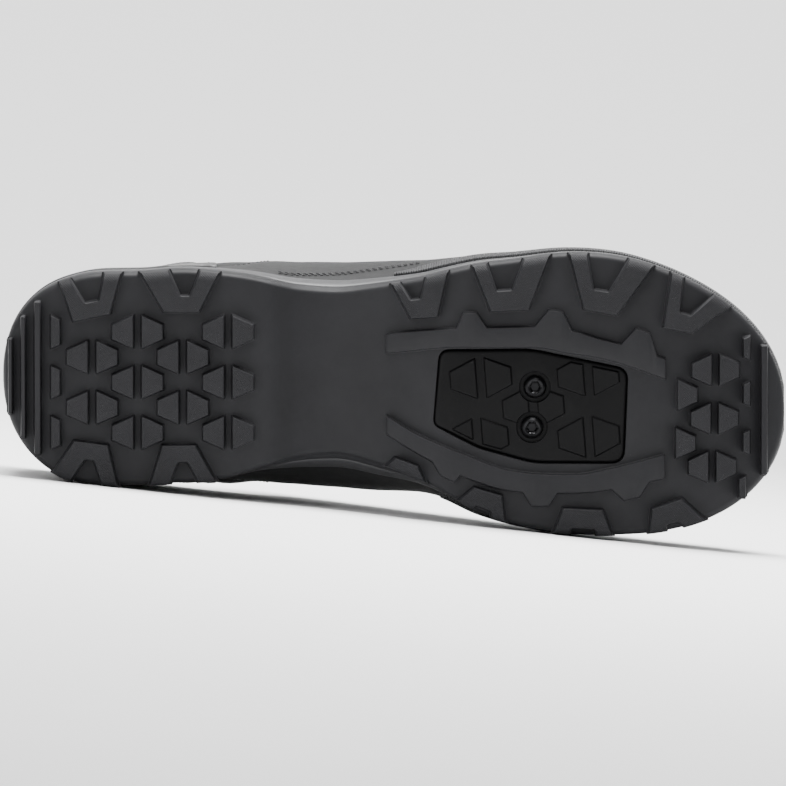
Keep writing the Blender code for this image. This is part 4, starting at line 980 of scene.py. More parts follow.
def stitched(name, guides, settings, material, slot):
    """Bakes the stitches of the guides into one piece."""
    mesh = bpy.data.meshes.new(name)
    points, edges, normals = [], [], []
    turn = np.array(POSE.to_3x3())
    for places, facing in guides:
        start = len(points)
        points += [tuple(p) for p in places]
        normals += [tuple(n) for n in facing @ turn.T]
        edges += [(start + i, start + i + 1) for i in range(len(places) - 1)]
    mesh.from_pydata(points, edges, [])
    mesh.transform(POSE)
    layer = mesh.attributes.new("skin_normal", "FLOAT_VECTOR", "POINT")
    layer.data.foreach_set("vector", np.array(normals, dtype=np.float32).ravel())
    guide = bpy.data.objects.new(name, mesh)
    bpy.context.scene.collection.objects.link(guide)
    modifier = guide.modifiers.new("stitches", "NODES")
    modifier.node_group = stitch_tree()
    values = {"Pitch": settings.stitch_pitch, "Length": settings.stitch_length, "Thread": settings.thread,
              "Material": material}
    for item in modifier.node_group.interface.items_tree:
        if item.in_out == "INPUT" and item.name in values:
            modifier[item.identifier] = values[item.name]
    bpy.context.view_layer.update()
    graph = bpy.context.evaluated_depsgraph_get()
    baked = bpy.data.meshes.new_from_object(guide.evaluated_get(graph))
    guide.modifiers.clear()
    guide.data = baked
    bpy.data.meshes.remove(mesh)
    settle(guide, slot)
    return guide


# Finishes

def add_node(tree, kind, inputs=None, **fields):
    node = tree.nodes.new(kind)
    for name, value in fields.items():
        setattr(node, name, value)
    for name, value in (inputs or {}).items():
        if isinstance(value, bpy.types.NodeSocket):
            tree.links.new(value, node.inputs[name])
        else:
            node.inputs[name].default_value = value
    return node


def band_scale(pitch):
    """Scale of a wave texture whose bands are a pitch apart."""
    return 2 * math.pi / 20 / pitch


def noise(tree, coords, size, detail=2.0):
    made = add_node(tree, "ShaderNodeTexNoise", {"Vector": coords, "Scale": 1 / size, "Detail": detail})
    return made.outputs["Fac"]


def bands(tree, coords, pitch, direction="X", distortion=0.0):
    return add_node(
        tree, "ShaderNodeTexWave", {"Vector": coords, "Scale": band_scale(pitch), "Distortion": distortion},
        wave_type="BANDS", bands_direction=direction,
    ).outputs["Fac"]


def combine(tree, operation, first, second):
    return add_node(tree, "ShaderNodeMath", {0: first, 1: second}, operation=operation).outputs["Value"]


def turned(tree, coords, degrees):
    made = add_node(tree, "ShaderNodeMapping", {"Vector": coords, "Rotation": (0, 0, math.radians(degrees))})
    return made.outputs["Vector"]


def tones(middle, dark, light):
    """Two shades of a colour, for the drift of a finish."""
    return tuple(dark * c for c in middle), tuple(light * c for c in middle)


def make_finish(name, dark, light, roughness, relief=(), patch=0.012, spread=0.06, **sockets):
    """A finish whose colour drifts between two tones, with relief as rows of (pattern, pitch, depth)."""
    material = bpy.data.materials.new(name)
    material.use_nodes = True
    tree = material.node_tree
    shader = tree.nodes["Principled BSDF"]
    coords = add_node(tree, "ShaderNodeTexCoord")
    space, flat = coords.outputs["Object"], coords.outputs["UV"]
    drift = noise(tree, space, patch, 4.0)
    ramp = add_node(tree, "ShaderNodeValToRGB", {"Fac": drift})
    ramp.color_ramp.elements[0].position = 0.30
    ramp.color_ramp.elements[1].position = 0.72
    ramp.color_ramp.elements[0].color = (*dark, 1)
    ramp.color_ramp.elements[1].color = (*light, 1)
    tree.links.new(ramp.outputs["Color"], shader.inputs["Base Color"])
    rough = add_node(tree, "ShaderNodeMapRange", {
        "Value": noise(tree, space, patch / 6, 3.0),
        "To Min": roughness - spread, "To Max": roughness + spread})
    tree.links.new(rough.outputs["Result"], shader.inputs["Roughness"])
    normal = None
    for pattern, pitch, depth in relief:
        height = PATTERNS[pattern](tree, space, flat, pitch)
        inputs = {"Height": height, "Distance": depth, "Strength": 1.0}
        if normal:
            inputs["Normal"] = normal
        normal = add_node(tree, "ShaderNodeBump", inputs).outputs["Normal"]
    if normal:
        tree.links.new(normal, shader.inputs["Normal"])
    for socket, value in sockets.items():
        shader.inputs[socket.replace("_", " ")].default_value = value
    return material


PATTERNS = {
    "grain": lambda tree, space, flat, pitch: noise(tree, space, pitch, 3.0),
    "mottle": lambda tree, space, flat, pitch: noise(tree, space, pitch, 1.0),
    "ribs": lambda tree, space, flat, pitch: bands(tree, flat, pitch),
    "diamonds": lambda tree, space, flat, pitch: combine(
        tree, "MULTIPLY",
        bands(tree, turned(tree, flat, 45), pitch), bands(tree, turned(tree, flat, -45), pitch)),
    "weave": lambda tree, space, flat, pitch: combine(
        tree, "MAXIMUM", bands(tree, flat, pitch, "X"), bands(tree, flat, pitch, "Y")),
    "knit": lambda tree, space, flat, pitch: add_node(
        tree, "ShaderNodeTexVoronoi",
        {"Vector": flat, "Scale": 1 / pitch, "Randomness": 0.25}).outputs["Distance"],
}


# What a user may change

def length(name, description, default, low, high):
    return FloatProperty(
        name=name, description=description, default=default, min=low, max=high, precision=5, unit="LENGTH")


def colour(name, description, default):
    return FloatVectorProperty(
        name=name, description=description, default=default, subtype="COLOR", min=0, max=1)


class ShoeSoleSettings(bpy.types.PropertyGroup):
    lug_rounding: length("Lug rounding", "Radius of the shoulder of each lug", 0.00032, 0.0001, 0.001)
    root_fillet: length("Root fillet", "Radius where a lug leaves the tread", 0.0005, 0.0001, 0.001)
    corner_radius: length("Lug corners", "Radius of a lug's upright corners", 0.0004, 0.0001, 0.002)
    lug_draft: length("Lug draft", "How much narrower a lug is at its tip", 0.0003, 0.0, 0.001)
    edge_softening: length(
        "Edge softening", "Radius of the lugs' ends round the sole's edge", 0.0042, 0.0001, 0.0045)
    rubber: colour("Rubber", "Colour of the tread", (0.0088, 0.0088, 0.0100))
    cover: colour("Cover", "Colour of the cleat cover", (0.0022, 0.0022, 0.0024))
    stipple_pitch: length("Stipple", "Pitch of the fine texture on the lugs", 0.0006, 0.0003, 0.003)


class ShoeUpperSettings(bpy.types.PropertyGroup):
    skin: colour("Microfibre", "Colour of the upper", (0.0042, 0.0043, 0.0047))
    overlay: colour("Overlay", "Colour of heel counter and toe cap", (0.006, 0.006, 0.0066))
    lining: colour("Lining", "Colour of lining and tongue", (0.010, 0.010, 0.011))
    crease: FloatProperty(
        name="Creases", description="Share of the flex creases' full depth", default=1.0, min=0.0, max=2.0)
    stitch_pitch: length("Stitch pitch", "From one stitch to the next", 0.0021, 0.001, 0.01)
    stitch_length: length("Stitch length", "Length of one stitch", 0.0016, 0.0005, 0.008)
    thread: length("Thread", "Thickness of the thread", 0.00038, 0.0002, 0.001)
    thread_colour: colour("Thread colour", "Colour of the seams", (0.012, 0.012, 0.013))


class ShoeStageSettings(bpy.types.PropertyGroup):
    distance: FloatProperty(
        name="Camera distance", description="From the camera to the sole", default=3.5, min=0.5, max=4,
        unit="LENGTH")
    height_angle: FloatProperty(
        name="Camera height", description="How far above the floor's plane the camera looks from",
        default=math.radians(1.5), subtype="ANGLE", min=0, max=1.5)
    floor: colour("Floor", "Colour of the floor", (0.90, 0.90, 0.90))
    key_power: FloatProperty(
        name="Key light", description="Power of the overhead light", default=80.0, min=0, max=500)
    fill: FloatProperty(
        name="Fill", description="Strength of the light from all round", default=0.45, min=0, max=5)


# Pieces

class SHOE_OT_outsole(bpy.types.Operator):
    """Moulds the outsole with its lugs, rails and cleat pocket"""
    bl_idname = "shoe.outsole"
    bl_label = "Outsole"

    def execute(self, context):
        settings = context.scene.shoe_sole
        body = Mould()
        curve = [math.radians(15 * i) for i in range(7)]
        rings = [
            (EDGE_BEVEL * (1 - 0.9 * math.sin(a)), 0.0,
             lambda x, a=a: tread_height(x) + 0.30 * (1 - math.cos(a)) * (outsole_top(x) - tread_height(x)))
            for a in curve
        ]
        for share, inset, flare in (
                (0.45, 0.04, 0.10), (0.62, 0.01, 0.20), (0.85, 0.0, 0.35), (0.95, 0.05, 0.38)):
            rings.append((inset * EDGE_BEVEL, flare,
                          lambda x, s=share: tread_height(x) + s * (outsole_top(x) - tread_height(x))))
        rings.append((0.2 * EDGE_BEVEL, 0.40, outsole_top))
        sole_layer(body, rings)
        rubber = make_finish(
            "tread_rubber", *tones(settings.rubber, 0.86, 1.14), 0.60,
            (("mottle", 0.004, 0.00006), ("grain", 0.0006, 0.00003)), 0.018, Specular_IOR_Level=0.17)
        stipple = make_finish(
            "lug_rubber", *tones(settings.rubber, 0.92, 1.22), 0.66,
            (("diamonds", settings.stipple_pitch, 0.00010), ("grain", 0.0005, 0.00003)), 0.014,
            Specular_IOR_Level=0.17)
        outsole = body.object("outsole_body", (rubber, stipple))
        rails = Mould()
        for side in (LATERAL, MEDIAL):
            add_rail(rails, side, settings)
        rail_object = rails.object("rails", (rubber, stipple))
        rim = float(tread_height(0.68 * SOLE_LENGTH))
        for obj in (outsole, rail_object):
            carve(obj, prism("pocket", (
                (pocket_outline(-0.0005), -LUG_HEIGHT), (pocket_outline(-0.0005), rim - RAIL_HEIGHT),
                (pocket_outline(-0.00015), rim + 0.0001), (pocket_outline(0), rim + 0.0006),
                (pocket_outline(0), pocket_floor()),
            )))
        edge_lugs, lugs = Mould(), Mould()
        for lug in EDGE_LUGS:
            add_tread_lug(edge_lugs, edge_lug(*lug), settings, sunk=EDGE_LUG_SUNK)
        edge_object = edge_lugs.object("edge_lugs", (rubber, stipple))
        cut_tips(edge_object, TIP_GRID)
        round_over(edge_object, settings.edge_softening)
        for rib in CROSS_RIBS:
            add_tread_lug(lugs, cross_rib(*rib), settings, 0, 0.0008)
        for row in range(HEEL_ROWS):
            y = HEEL_MIDDLE * BALL_WIDTH + (row - HEEL_ROWS // 2) * TREAD_ROW_PITCH
            for column in HEEL_COLUMNS[row % 2]:
                x = HEEL_FIRST_SPLIT * SOLE_LENGTH + column * TREAD_COLUMN_PITCH
                for outline in split_hexagon(x, y, 1.0, "both" if column else "front_stub"):
                    add_tread_lug(lugs, outline, settings)
        for row, along, halves in TOE_LUGS:
            y = TOE_MIDDLE * BALL_WIDTH + row * TOE_ROW_PITCH
            for outline in split_hexagon(along * SOLE_LENGTH, y, TOE_LUG_SCALE, halves):
                add_tread_lug(lugs, outline, settings)
        join(outsole, rail_object, edge_object, lugs.object("lugs", (rubber, stipple)))
        outsole.data.set_sharp_from_angle(angle=math.radians(38))
        settle(outsole, "outsole", "outsole")
        return {"FINISHED"}


class SHOE_OT_midsole(bpy.types.Operator):
    """Moulds the smooth layer between outsole and upper"""
    bl_idname = "shoe.midsole"
    bl_label = "Midsole"

    def execute(self, context):
        settings = context.scene.shoe_sole
        mould = Mould()

        def level(share):
            return lambda x: outsole_top(x) + GAP + share * (feather_height(x) - outsole_top(x) - GAP)

        sole_layer(mould, (
            (0.40 * EDGE_BEVEL, 0.42, level(0.0)), (0.12 * EDGE_BEVEL, 0.46, level(0.03)),
            (0.0, 0.52, level(0.10)), (0.0, 0.72, level(0.35)), (0.0, 0.90, level(0.65)),
            (0.0, 1.0, level(0.85)), (0.06 * EDGE_BEVEL, 1.0, level(0.95)),
            (0.25 * EDGE_BEVEL, 1.0, level(1.0)),
        ))
        material = make_finish(
            "midsole_rubber", *tones(settings.rubber, 1.25, 1.6), 0.50,
            (("grain", 0.0005, 0.00002),), 0.02, Specular_IOR_Level=0.5)
        settle(mould.object("midsole_layer", (material,)), "midsole", "midsole")
        return {"FINISHED"}


class SHOE_OT_cleat_cover(bpy.types.Operator):
    """Makes the cover plate of the cleat pocket and its two bolts"""
    bl_idname = "shoe.cleat_cover"
    bl_label = "Cleat cover and bolts"

    def execute(self, context):
        settings = context.scene.shoe_sole
        face, floor = cover_face(), pocket_floor() - GAP
        plastic = make_finish(
            "cover_plastic", *tones(settings.cover, 0.85, 1.25), 0.52,
            (("grain", 0.0004, 0.00003),), 0.01, Specular_IOR_Level=0.09)
        mould = Mould()
        rows = [
            mould.row([(x, y, height) for x, y in pocket_outline(inset)])
            for inset, height in ((GAP, floor), (GAP, face + 0.0013), (GAP + 0.00012, face + 0.0008),
                                  (GAP + 0.0004, face + 0.0003), (GAP + 0.0008, face + 0.00008),
                                  (GAP + 0.0012, face))
        ]
        for lower, upper in zip(rows, rows[1:]):
            mould.bridge(lower, upper)
        mould.face(rows[0])
        mould.face(rows[-1])
        middle = (bolt_places()[0] + bolt_places()[1]) / 2
        pitch = Vector((TREAD_COLUMN_PITCH, TREAD_ROW_PITCH)) * COVER_LUG_SCALE
        turn = Matrix.Rotation(-COVER_LUG_TURN, 2)
        field = pocket_outline(GAP + 0.0014)
        lugs = Mould()
        for column, row in COVER_LUG_PLACES:
            place = middle + turn @ Vector((column * pitch.x / 2, row * pitch.y))
            for shape in split_hexagon(place.x, place.y, COVER_LUG_SCALE, "both", -COVER_LUG_TURN):
                shape = clipped_polygon(anticlockwise(shape), field)
                add_lug(lugs, shape, settings, lambda x: face + 0 * x, [face - COVER_LUG_HEIGHT] * 2, 0,
                        COVER_LUG_CORNER, COVER_LUG_FILLET)
        cover, lug_object = mould.object("cover_plate", (plastic,)), lugs.object("cover_lugs", (plastic,))
        for place in bolt_places():
            for obj in (cover, lug_object):
                bore = Mould()
                turned_rings(bore, place, (
                    (COUNTERBORE_RADIUS + 0.0003, -LUG_HEIGHT, 0),
                    (COUNTERBORE_RADIUS + 0.0003, face - 0.0001, 0),
                    (COUNTERBORE_RADIUS, face + 0.0002, 0), (COUNTERBORE_RADIUS, bolt_seat(), 0)))
                carve(obj, bore.object("bore", ()))
            hole = Mould()
            turned_rings(hole, place, (
                (BOLT_SHANK_RADIUS + GAP, face, 0), (BOLT_SHANK_RADIUS + GAP, 2 * floor, 0)))
            carve(cover, hole.object("hole", ()))
        join(cover, lug_object)
        cover.data.set_sharp_from_angle(angle=math.radians(38))
        settle(cover, "cleat_cover", "cleat_cover")

        steel = make_finish(
            "black_steel", (0.004, 0.004, 0.0045), (0.010, 0.010, 0.011), 0.34,
            (("grain", 0.0003, 0.00001),), 0.003, Metallic=0.85)
        # The socket's walls take a lighter steel with fine patches: painted highlight that stands for the
        # glints inside the hex.
        painted_glint = make_finish(
            "socket_painted_glint", (0.003, 0.003, 0.003), (0.055, 0.055, 0.058), 0.25,
            (("grain", 0.0005, 0.00006),), 0.0010, Metallic=0.9)
        seat = bolt_seat() - GAP
        top = seat - BOLT_HEAD_HEIGHT
        socket = BOLT_SOCKET_FLATS / math.sqrt(3)
        for name, place in zip(("cover_bolt_lateral", "cover_bolt_medial"), bolt_places()):
            bolt = Mould()
            turned_rings(bolt, place, (
                (BOLT_SHANK_RADIUS, seat + BOLT_SHANK_LENGTH, 0), (BOLT_SHANK_RADIUS, seat, 0),
                (0.97 * BOLT_HEAD_RADIUS, seat, 0), (BOLT_HEAD_RADIUS, seat - 0.00012, 0),
                (0.985 * BOLT_HEAD_RADIUS, seat - 0.0006, 0), (0.94 * BOLT_HEAD_RADIUS, seat - 0.0011, 0),
                (0.86 * BOLT_HEAD_RADIUS, seat - 0.0016, 0), (0.76 * BOLT_HEAD_RADIUS, seat - 0.0020, 0),
                (0.70 * BOLT_HEAD_RADIUS, top, 0), (socket + 0.0002, top, 0.6), (socket, top + 0.00015, 1),
                (0.62 * socket, top + BOLT_SOCKET_DEPTH, 1), (0.3 * socket, top + BOLT_SOCKET_DEPTH, 1)), 10)
            settle(bolt.object(name.replace("cover_", "button_"), (steel, painted_glint), 30), "bolt", name)
        return {"FINISHED"}


class SHOE_OT_upper(bpy.types.Operator):
    """Makes the upper as one wall with its padded collar, lining and flex creases"""
    bl_idname = "shoe.upper"
    bl_label = "Upper"

    def execute(self, context):
        settings = context.scene.shoe_upper
        alongs = np.sort(np.concatenate((stations(150), (THROAT_BACK - 0.002, THROAT_BACK, THROAT_FRONT))))
        arounds = np.concatenate((-alongs, alongs[-2:0:-1]))
        ends = wall_end(arounds)
        closed = ends >= 1
        rows = 56
        shares = np.linspace(0, 1, rows + 1)[:, None]
        rise = shares * ends[None, :]
        around = np.broadcast_to(arounds, rise.shape)
        skin, normal = skin_point(around, rise), skin_normal(around, rise)
        outer = skin + normal * (settings.crease * relief(around, rise))[..., None]
        level = normal.copy()
        level[0, :, 2] = 0
        level /= np.linalg.norm(level, axis=-1, keepdims=True)
        inner = skin - level * wall_thickness(np.abs(around), shares)[..., None]
        count, half = len(arounds), len(alongs) - 1
        for face in (outer, inner):
            mirrored = face[-1][(-np.arange(count)) % count]
            face[-1][closed] = ((face[-1] + mirrored) / 2)[closed]
        upwards = skin[-1] - skin_point(arounds, ends - 0.02)
        upwards /= np.linalg.norm(upwards, axis=-1, keepdims=True)
        middle, spoke = (outer[-1] + inner[-1]) / 2, (outer[-1] - inner[-1]) / 2
        radius = np.linalg.norm(spoke, axis=-1, keepdims=True)
        walked = np.where(arounds > 0, arounds - 2, arounds) * SOLE_LENGTH
        climbed = run_lengths(outer, 0)
        mould = Mould()

        def ring(places, climb):
            return mould.row(places, np.stack((walked, climb), axis=-1))

        outer_rows = [ring(outer[i], climbed[i]) for i in range(rows + 1)]
        roll = []
        for angle in np.radians((22, 45, 70, 95, 120, 145)):
            places = middle + spoke * math.cos(angle) + upwards * radius * 0.9 * math.sin(angle)
            roll.append(ring(places, climbed[-1] + radius[:, 0] * angle))
        inner_rows = [ring(inner[i], climbed[i]) for i in range(rows + 1)]
        for edge in (outer_rows[-1], inner_rows[-1]):
            for i in range(1, half):
                if closed[i]:
                    edge[count - i] = edge[i]
        for numbers in roll:
            for i in range(count):
                if closed[i]:
                    numbers[i] = outer_rows[-1][i]
        collar = int(0.86 * rows)
        for i in range(rows):
            for j in range(count):
                k = (j + 1) % count
                at_collar = i >= collar and abs(arounds[j]) < PADDED_BACK
                for rings, kind in ((outer_rows, int(at_collar)), (inner_rows, 2)):
                    mould.face((rings[i][j], rings[i][k], rings[i + 1][k], rings[i + 1][j]), kind)
        strips = [outer_rows[-1], *roll, inner_rows[-1]]
        for step, (first, second) in enumerate(zip(strips, strips[1:])):
            for j in range(count):
                k = (j + 1) % count
                if not (closed[j] and closed[k]):
                    kind = 1 if abs(arounds[j]) < PADDED_BACK else (0 if step < 3 else 2)
                    mould.face((first[j], first[k], second[k], second[j]), kind)
        mould.bridge(outer_rows[0], inner_rows[0], kind=2)
        skin_finish = make_finish(
            "microfibre", *tones(settings.skin, 0.88, 1.12), 0.56,
            (("mottle", 0.006, 0.00012), ("grain", 0.0007, 0.00007)), 0.02, Specular_IOR_Level=0.2,
            Sheen_Weight=0.02, Sheen_Roughness=0.5)
        collar_finish = make_finish(
            "collar_knit", *tones(settings.lining, 0.8, 1.3), 0.85,
            (("weave", 0.0009, 0.00022),), 0.01, Sheen_Weight=0.10, Sheen_Roughness=0.5)
        lining_finish = make_finish(
            "lining_mesh", *tones(settings.lining, 0.8, 1.4), 0.88,
            (("knit", 0.0016, 0.00035),), 0.01, Sheen_Weight=0.10, Sheen_Roughness=0.5)
        settle(mould.object("upper_wall", (skin_finish, collar_finish, lining_finish), 50), "upper", "upper")
        return {"FINISHED"}


def counter_place(u, v):
    around = (2 * u - 1) * COUNTER_FOOT
    forward = np.maximum(np.abs(around) - COUNTER_CREST, 0) / (COUNTER_FOOT - COUNTER_CREST)
    top = COUNTER_TOP * (1 - 0.7 * forward**2)
    return around, FOOT_RISE + (top - FOOT_RISE) * v


def rand_top(around):
    """Rise at which the rand ends."""
    wrapped = (around + 1) % 2 - 1
    return rise_at_height(wrapped, feather_height(np.abs(wrapped) * SOLE_LENGTH) + RAND_HEIGHT)


def rand_place(u, v):
    start, end = RAND_START[LATERAL], 2 - RAND_START[MEDIAL]
    around = -(start + (end - start) * u)
    top = rand_top(around[:, 0])
    taper = smoothstep(0.0, 0.06, u)
    return around, FOOT_RISE + (top[:, None] * (0.45 + 0.55 * taper) - FOOT_RISE) * v


def toe_cap_place(u, v):
    around = -(1 + TOE_CAP_REACH * (2 * u - 1))
    foot = rand_top(around[:, 0]) + 0.012
    across = np.abs(2 * u - 1)
    top = TOE_CAP_TOP * (1 - across**2.2) ** 0.5
    return around, foot[:, None] + np.maximum(top - foot[:, None], 0.03) * v


def facing_place(side):
    """A band along the edge of the throat on one side."""

    def place(u, v):
        around = side * (FACING_START + (FACING_END - FACING_START) * u)
        end = wall_end(around[:, 0])[:, None] - 0.012
        return around, end - FACING_WIDTH * (1 - 0.35 * u) * (1 - v)

    return place


def strap_place(name):
    start, end, lateral_rise, medial_rise, sweep = STRAPS[name]

    def place(u, v):
        travelled = u * (2 - lateral_rise - medial_rise)
        lateral = travelled < 1 - lateral_rise
        rise = np.where(lateral, lateral_rise + travelled, 1 - (travelled - (1 - lateral_rise)))
        swept = sweep * (1 - rise) / (1 - lateral_rise)
        along = start + (end - start) * v - np.where(lateral, swept, -swept)
        return np.where(lateral, -along, along), rise

    return place


class SHOE_OT_overlays(bpy.types.Operator):
    """Lays the heel counter, rand, toe cap and throat facings over the upper"""
    bl_idname = "shoe.overlays"
    bl_label = "Overlays"

    def execute(self, context):
        settings = context.scene.shoe_upper
        satin = make_finish(
            "counter_film", *tones(settings.overlay, 0.85, 1.2), 0.46,
            (("grain", 0.0005, 0.00004),), 0.02, Coat_Weight=0.08, Coat_Roughness=0.4)
        ribbed = make_finish(
            "ribbed_rand", *tones(settings.overlay, 2.2, 2.9), 0.55,
            (("ribs", 0.0009, 0.00035), ("grain", 0.0005, 0.00002)), 0.02)
        facing = make_finish(
            "facing", *tones(settings.overlay, 1.3, 1.9), 0.50,
            (("grain", 0.0006, 0.00007),), 0.02)
        mould = Mould()
        sheet(mould, counter_place, (0.20, 0.03), (140, 22), OVERLAY, COUNTER_THICKNESS, 0.0008)
        settle(mould.object("heel_overlay", (satin,)), "heel_counter", "heel_counter")
        mould = Mould()
        sheet(mould, rand_place, (0.26, 0.009), (220, 10), OVERLAY, RAND_THICKNESS, 0.0007)
        settle(mould.object("toe_rand", (ribbed,)), "rand", "rand")
        mould = Mould()
        sheet(mould, toe_cap_place, (0.14, 0.035), (110, 26), 0.0001, TOE_CAP_THICKNESS, 0.0005)
        settle(mould.object("toe_cap", (satin,)), "heel_counter")
        mould = Mould()
        for side in (LATERAL, MEDIAL):
            sheet(mould, facing_place(side), (0.11, 0.012), (70, 10), 0.00005, FACING_THICKNESS, 0.0004)
        settle(mould.object("throat_facings", (facing,)), "upper")
        return {"FINISHED"}


class SHOE_OT_straps(bpy.types.Operator):
    """Makes the three hook-and-loop straps of the closure"""
    bl_idname = "shoe.straps"
    bl_label = "Straps"

    def execute(self, context):
        settings = context.scene.shoe_upper
        webbing = make_finish(
            "strap_face", *tones(settings.overlay, 0.9, 1.3), 0.62,
            (("weave", 0.0010, 0.00010), ("grain", 0.0006, 0.00004)), 0.015,
            Sheen_Weight=0.05, Sheen_Roughness=0.5)
        for name in STRAPS:
            mould = Mould()
            sheet(mould, strap_place(name), (0.09, 0.015), (90, 14), OVERLAY, STRAP_FACE, 0.0007)
            settle(mould.object(name.replace("strap", "band"), (webbing,)), "strap", name)
        return {"FINISHED"}


class SHOE_OT_tongue(bpy.types.Operator):
    """Makes the padded tongue with its quilted channels"""
    bl_idname = "shoe.tongue"
    bl_label = "Tongue"

    def execute(self, context):
        settings = context.scene.shoe_upper
        start, end = TONGUE_SPAN
        u, v = np.meshgrid(np.linspace(-1, 1, 45), border_lines(60, 0.12, 0.0012), indexing="ij")
        along = start + (end - start) * v
        line = along[0]
        edges = [rise_at_gap(side * line, UPPER["tongue"](line) * BALL_WIDTH) for side in (LATERAL, MEDIAL)]
        edge = np.where(u < 0, edges[0], edges[1])
        around, rise = np.where(u < 0, -along, along), 1 - (1 - edge) * np.abs(u)
        outer = -(WALL + TONGUE_CLEARANCE)
        walked = v * 0.13
        inside = 1 - smoothstep(0.45, 0.75, np.abs(u))
        puff = 0.0020 * inside * np.clip(np.sin(np.pi * v), 0, 1) ** 0.4
        channel = 0.0008 * inside * np.exp(-((((walked / 0.0125) % 1) - 0.5) / 0.10) ** 2)
        rounding = np.sqrt(np.clip(1 - np.abs(u) ** 14, 0, 1)) * np.sqrt(
            1 - (1 - np.clip(np.minimum(v, 1 - v) * 0.12 / 0.0012, 0, 1)) ** 2)
        middle = outer - TONGUE_THICKNESS / 2
        high = middle + (TONGUE_THICKNESS / 2) * rounding + puff * rounding - channel * rounding
        low = middle - (TONGUE_THICKNESS / 2) * rounding
        mould = Mould()
        skin, normal = skin_point(around, rise), skin_normal(around, rise)
        grids = [skin + normal * offset[..., None] for offset in (low, high)]
        close_sheet(mould, grids, [np.stack((run_lengths(g, 0), run_lengths(g, 1)), axis=-1) for g in grids])
        cloth = make_finish(
            "tongue_mesh", *tones(settings.lining, 0.8, 1.4), 0.85,
            (("knit", 0.0015, 0.00040),), 0.012, Sheen_Weight=0.10, Sheen_Roughness=0.5)
        tongue = mould.object("padded_tongue", (cloth,), 60)
        settle(tongue, "tongue", "tongue")
        return {"FINISHED"}


class SHOE_OT_insole(bpy.types.Operator):
    """Makes the dished insole with its fabric top"""
    bl_idname = "shoe.insole"
    bl_label = "Insole"

    def execute(self, context):
        settings = context.scene.shoe_upper
        mould = Mould()
        inset = UPPER_INSET + WALL + INSOLE_CLEARANCE

        def level(share):
            return lambda x: feather_height(x) + GAP + share * INSOLE_THICKNESS

        rings = (
            (0.0012, 0.0), (0.0003, 0.12), (0.0, 0.35), (0.0, 0.8), (0.0003, 0.95), (0.0010, 1.0),
        )
        made = [sole_ring(mould, inset + more, 0.85, level(share), 110) for more, share in rings]
        for lower, upper in zip(made, made[1:]):
            mould.bridge(lower, upper)
        mould.ladder(made[0])
        last = made[-1]
        for step, dish in ((0.80, 0.10), (0.60, 0.20), (0.35, 0.28)):
            ring = []
            for number in last:
                x, y, z = mould.points[number]
                along = min(max(x / SOLE_LENGTH, 0), 1)
                line_y = float(SOLE["centre"](along)) * BALL_WIDTH
                new_x = SOLE_LENGTH / 2 + (x - SOLE_LENGTH / 2) * (1 - 0.18 * (1 - step))
                top = float(feather_height(new_x)) + GAP + INSOLE_THICKNESS * (1 - dish)
                ring.append((new_x, line_y + (y - line_y) * step, top))
            numbers = mould.row(ring)
            mould.bridge(made[-1], numbers)
            made.append(numbers)
        mould.ladder(made[-1])
        fabric = make_finish(
            "insole_fabric", *tones(settings.lining, 0.9, 1.6), 0.90,
            (("weave", 0.0012, 0.00020),), 0.01, Sheen_Weight=0.10, Sheen_Roughness=0.5)
        settle(mould.object("footbed", (fabric,)), "insole", "insole")
        return {"FINISHED"}


class SHOE_OT_seams(bpy.types.Operator):
    """Sews the seams of upper, overlays and straps"""
    bl_idname = "shoe.seams"
    bl_label = "Seams"

    def execute(self, context):
        settings = context.scene.shoe_upper
        thread = make_finish(
            "thread", *tones(settings.thread_colour, 0.8, 1.3),
            0.7, (("grain", 0.0003, 0.00003),), 0.004, Sheen_Weight=0.3, Sheen_Roughness=0.4)
        guides = []
        sink = 0.3 * settings.thread
        walk = np.linspace(0.02, 0.98, 120)
        for line in (0.93, 0.86):
            around, rise = counter_place(walk, np.full_like(walk, line))
            seam(guides, around, rise, OVERLAY + COUNTER_THICKNESS + sink - settings.thread / 2)
        u = walk[:, None]
        around, rise = toe_cap_place(u, np.full_like(u, 0.93))
        seam(guides, around[8:-8, 0], rise[8:-8, 0], 0.0008)
        for side in (LATERAL, MEDIAL):
            for line in (0.86, 0.14):
                around, rise = facing_place(side)(u, np.full_like(u, line))
                seam(guides, around[:, 0], rise[:, 0], 0.00045)
            collar = np.linspace(0.0, 0.335, 60) * side
            end = wall_end(collar)
            seam(guides, collar, end - COLLAR_SEAM_PLACE * COLLAR_BAND, 0.0001)
        # The quarter's lower seam: a band of three lines that rises to where the rand starts
        for number in range(3):
            low = np.linspace(LOW_SEAM_START + 0.0026 * (number % 2), RAND_START[LATERAL] + 0.03, 60)
            climb = 0.10 * ((low - LOW_SEAM_START) / LOW_SEAM_LENGTH) ** 1.4
            seam(guides, -low, 0.045 + 0.010 * number + climb, 0.00022)
        for name in STRAPS:
            place = strap_place(name)
            level = OVERLAY + STRAP_FACE
            for line in (0.12, 0.88):
                around, rise = place(walk, np.full_like(walk, line))
                seam(guides, around, rise, level)
            for line in (0.03, 0.30, 0.97):
                cross = np.linspace(0.14, 0.86, 12)
                around, rise = place(np.full_like(cross, line), cross)
                seam(guides, around, rise, level)
        stitched("seam_stitches", guides, settings, thread, "upper")
        return {"FINISHED"}


# The floor runs from in front of the camera to a wall that it bends up into
FLOOR_FRONT, FLOOR_BACK, FLOOR_SIDE = -6.0, 1.6, 3.0
FLOOR_BEND = 0.5
FLOOR_WALL = 2.4
# Lamps: name, place, size and share of the key light's power
LAMPS = (("overhead", (0.0, 0.05, 1.25), 1.1, 1.0), ("front", (-0.7, -1.7, 1.0), 1.2, 0.22))
# The photograph's frame on the plane of the sole: what is at its middle, and how wide it is
PICTURE_CENTRE = (0.1346, 0.0002)
PICTURE_WIDTH = 0.2705
SENSOR_WIDTH = 36


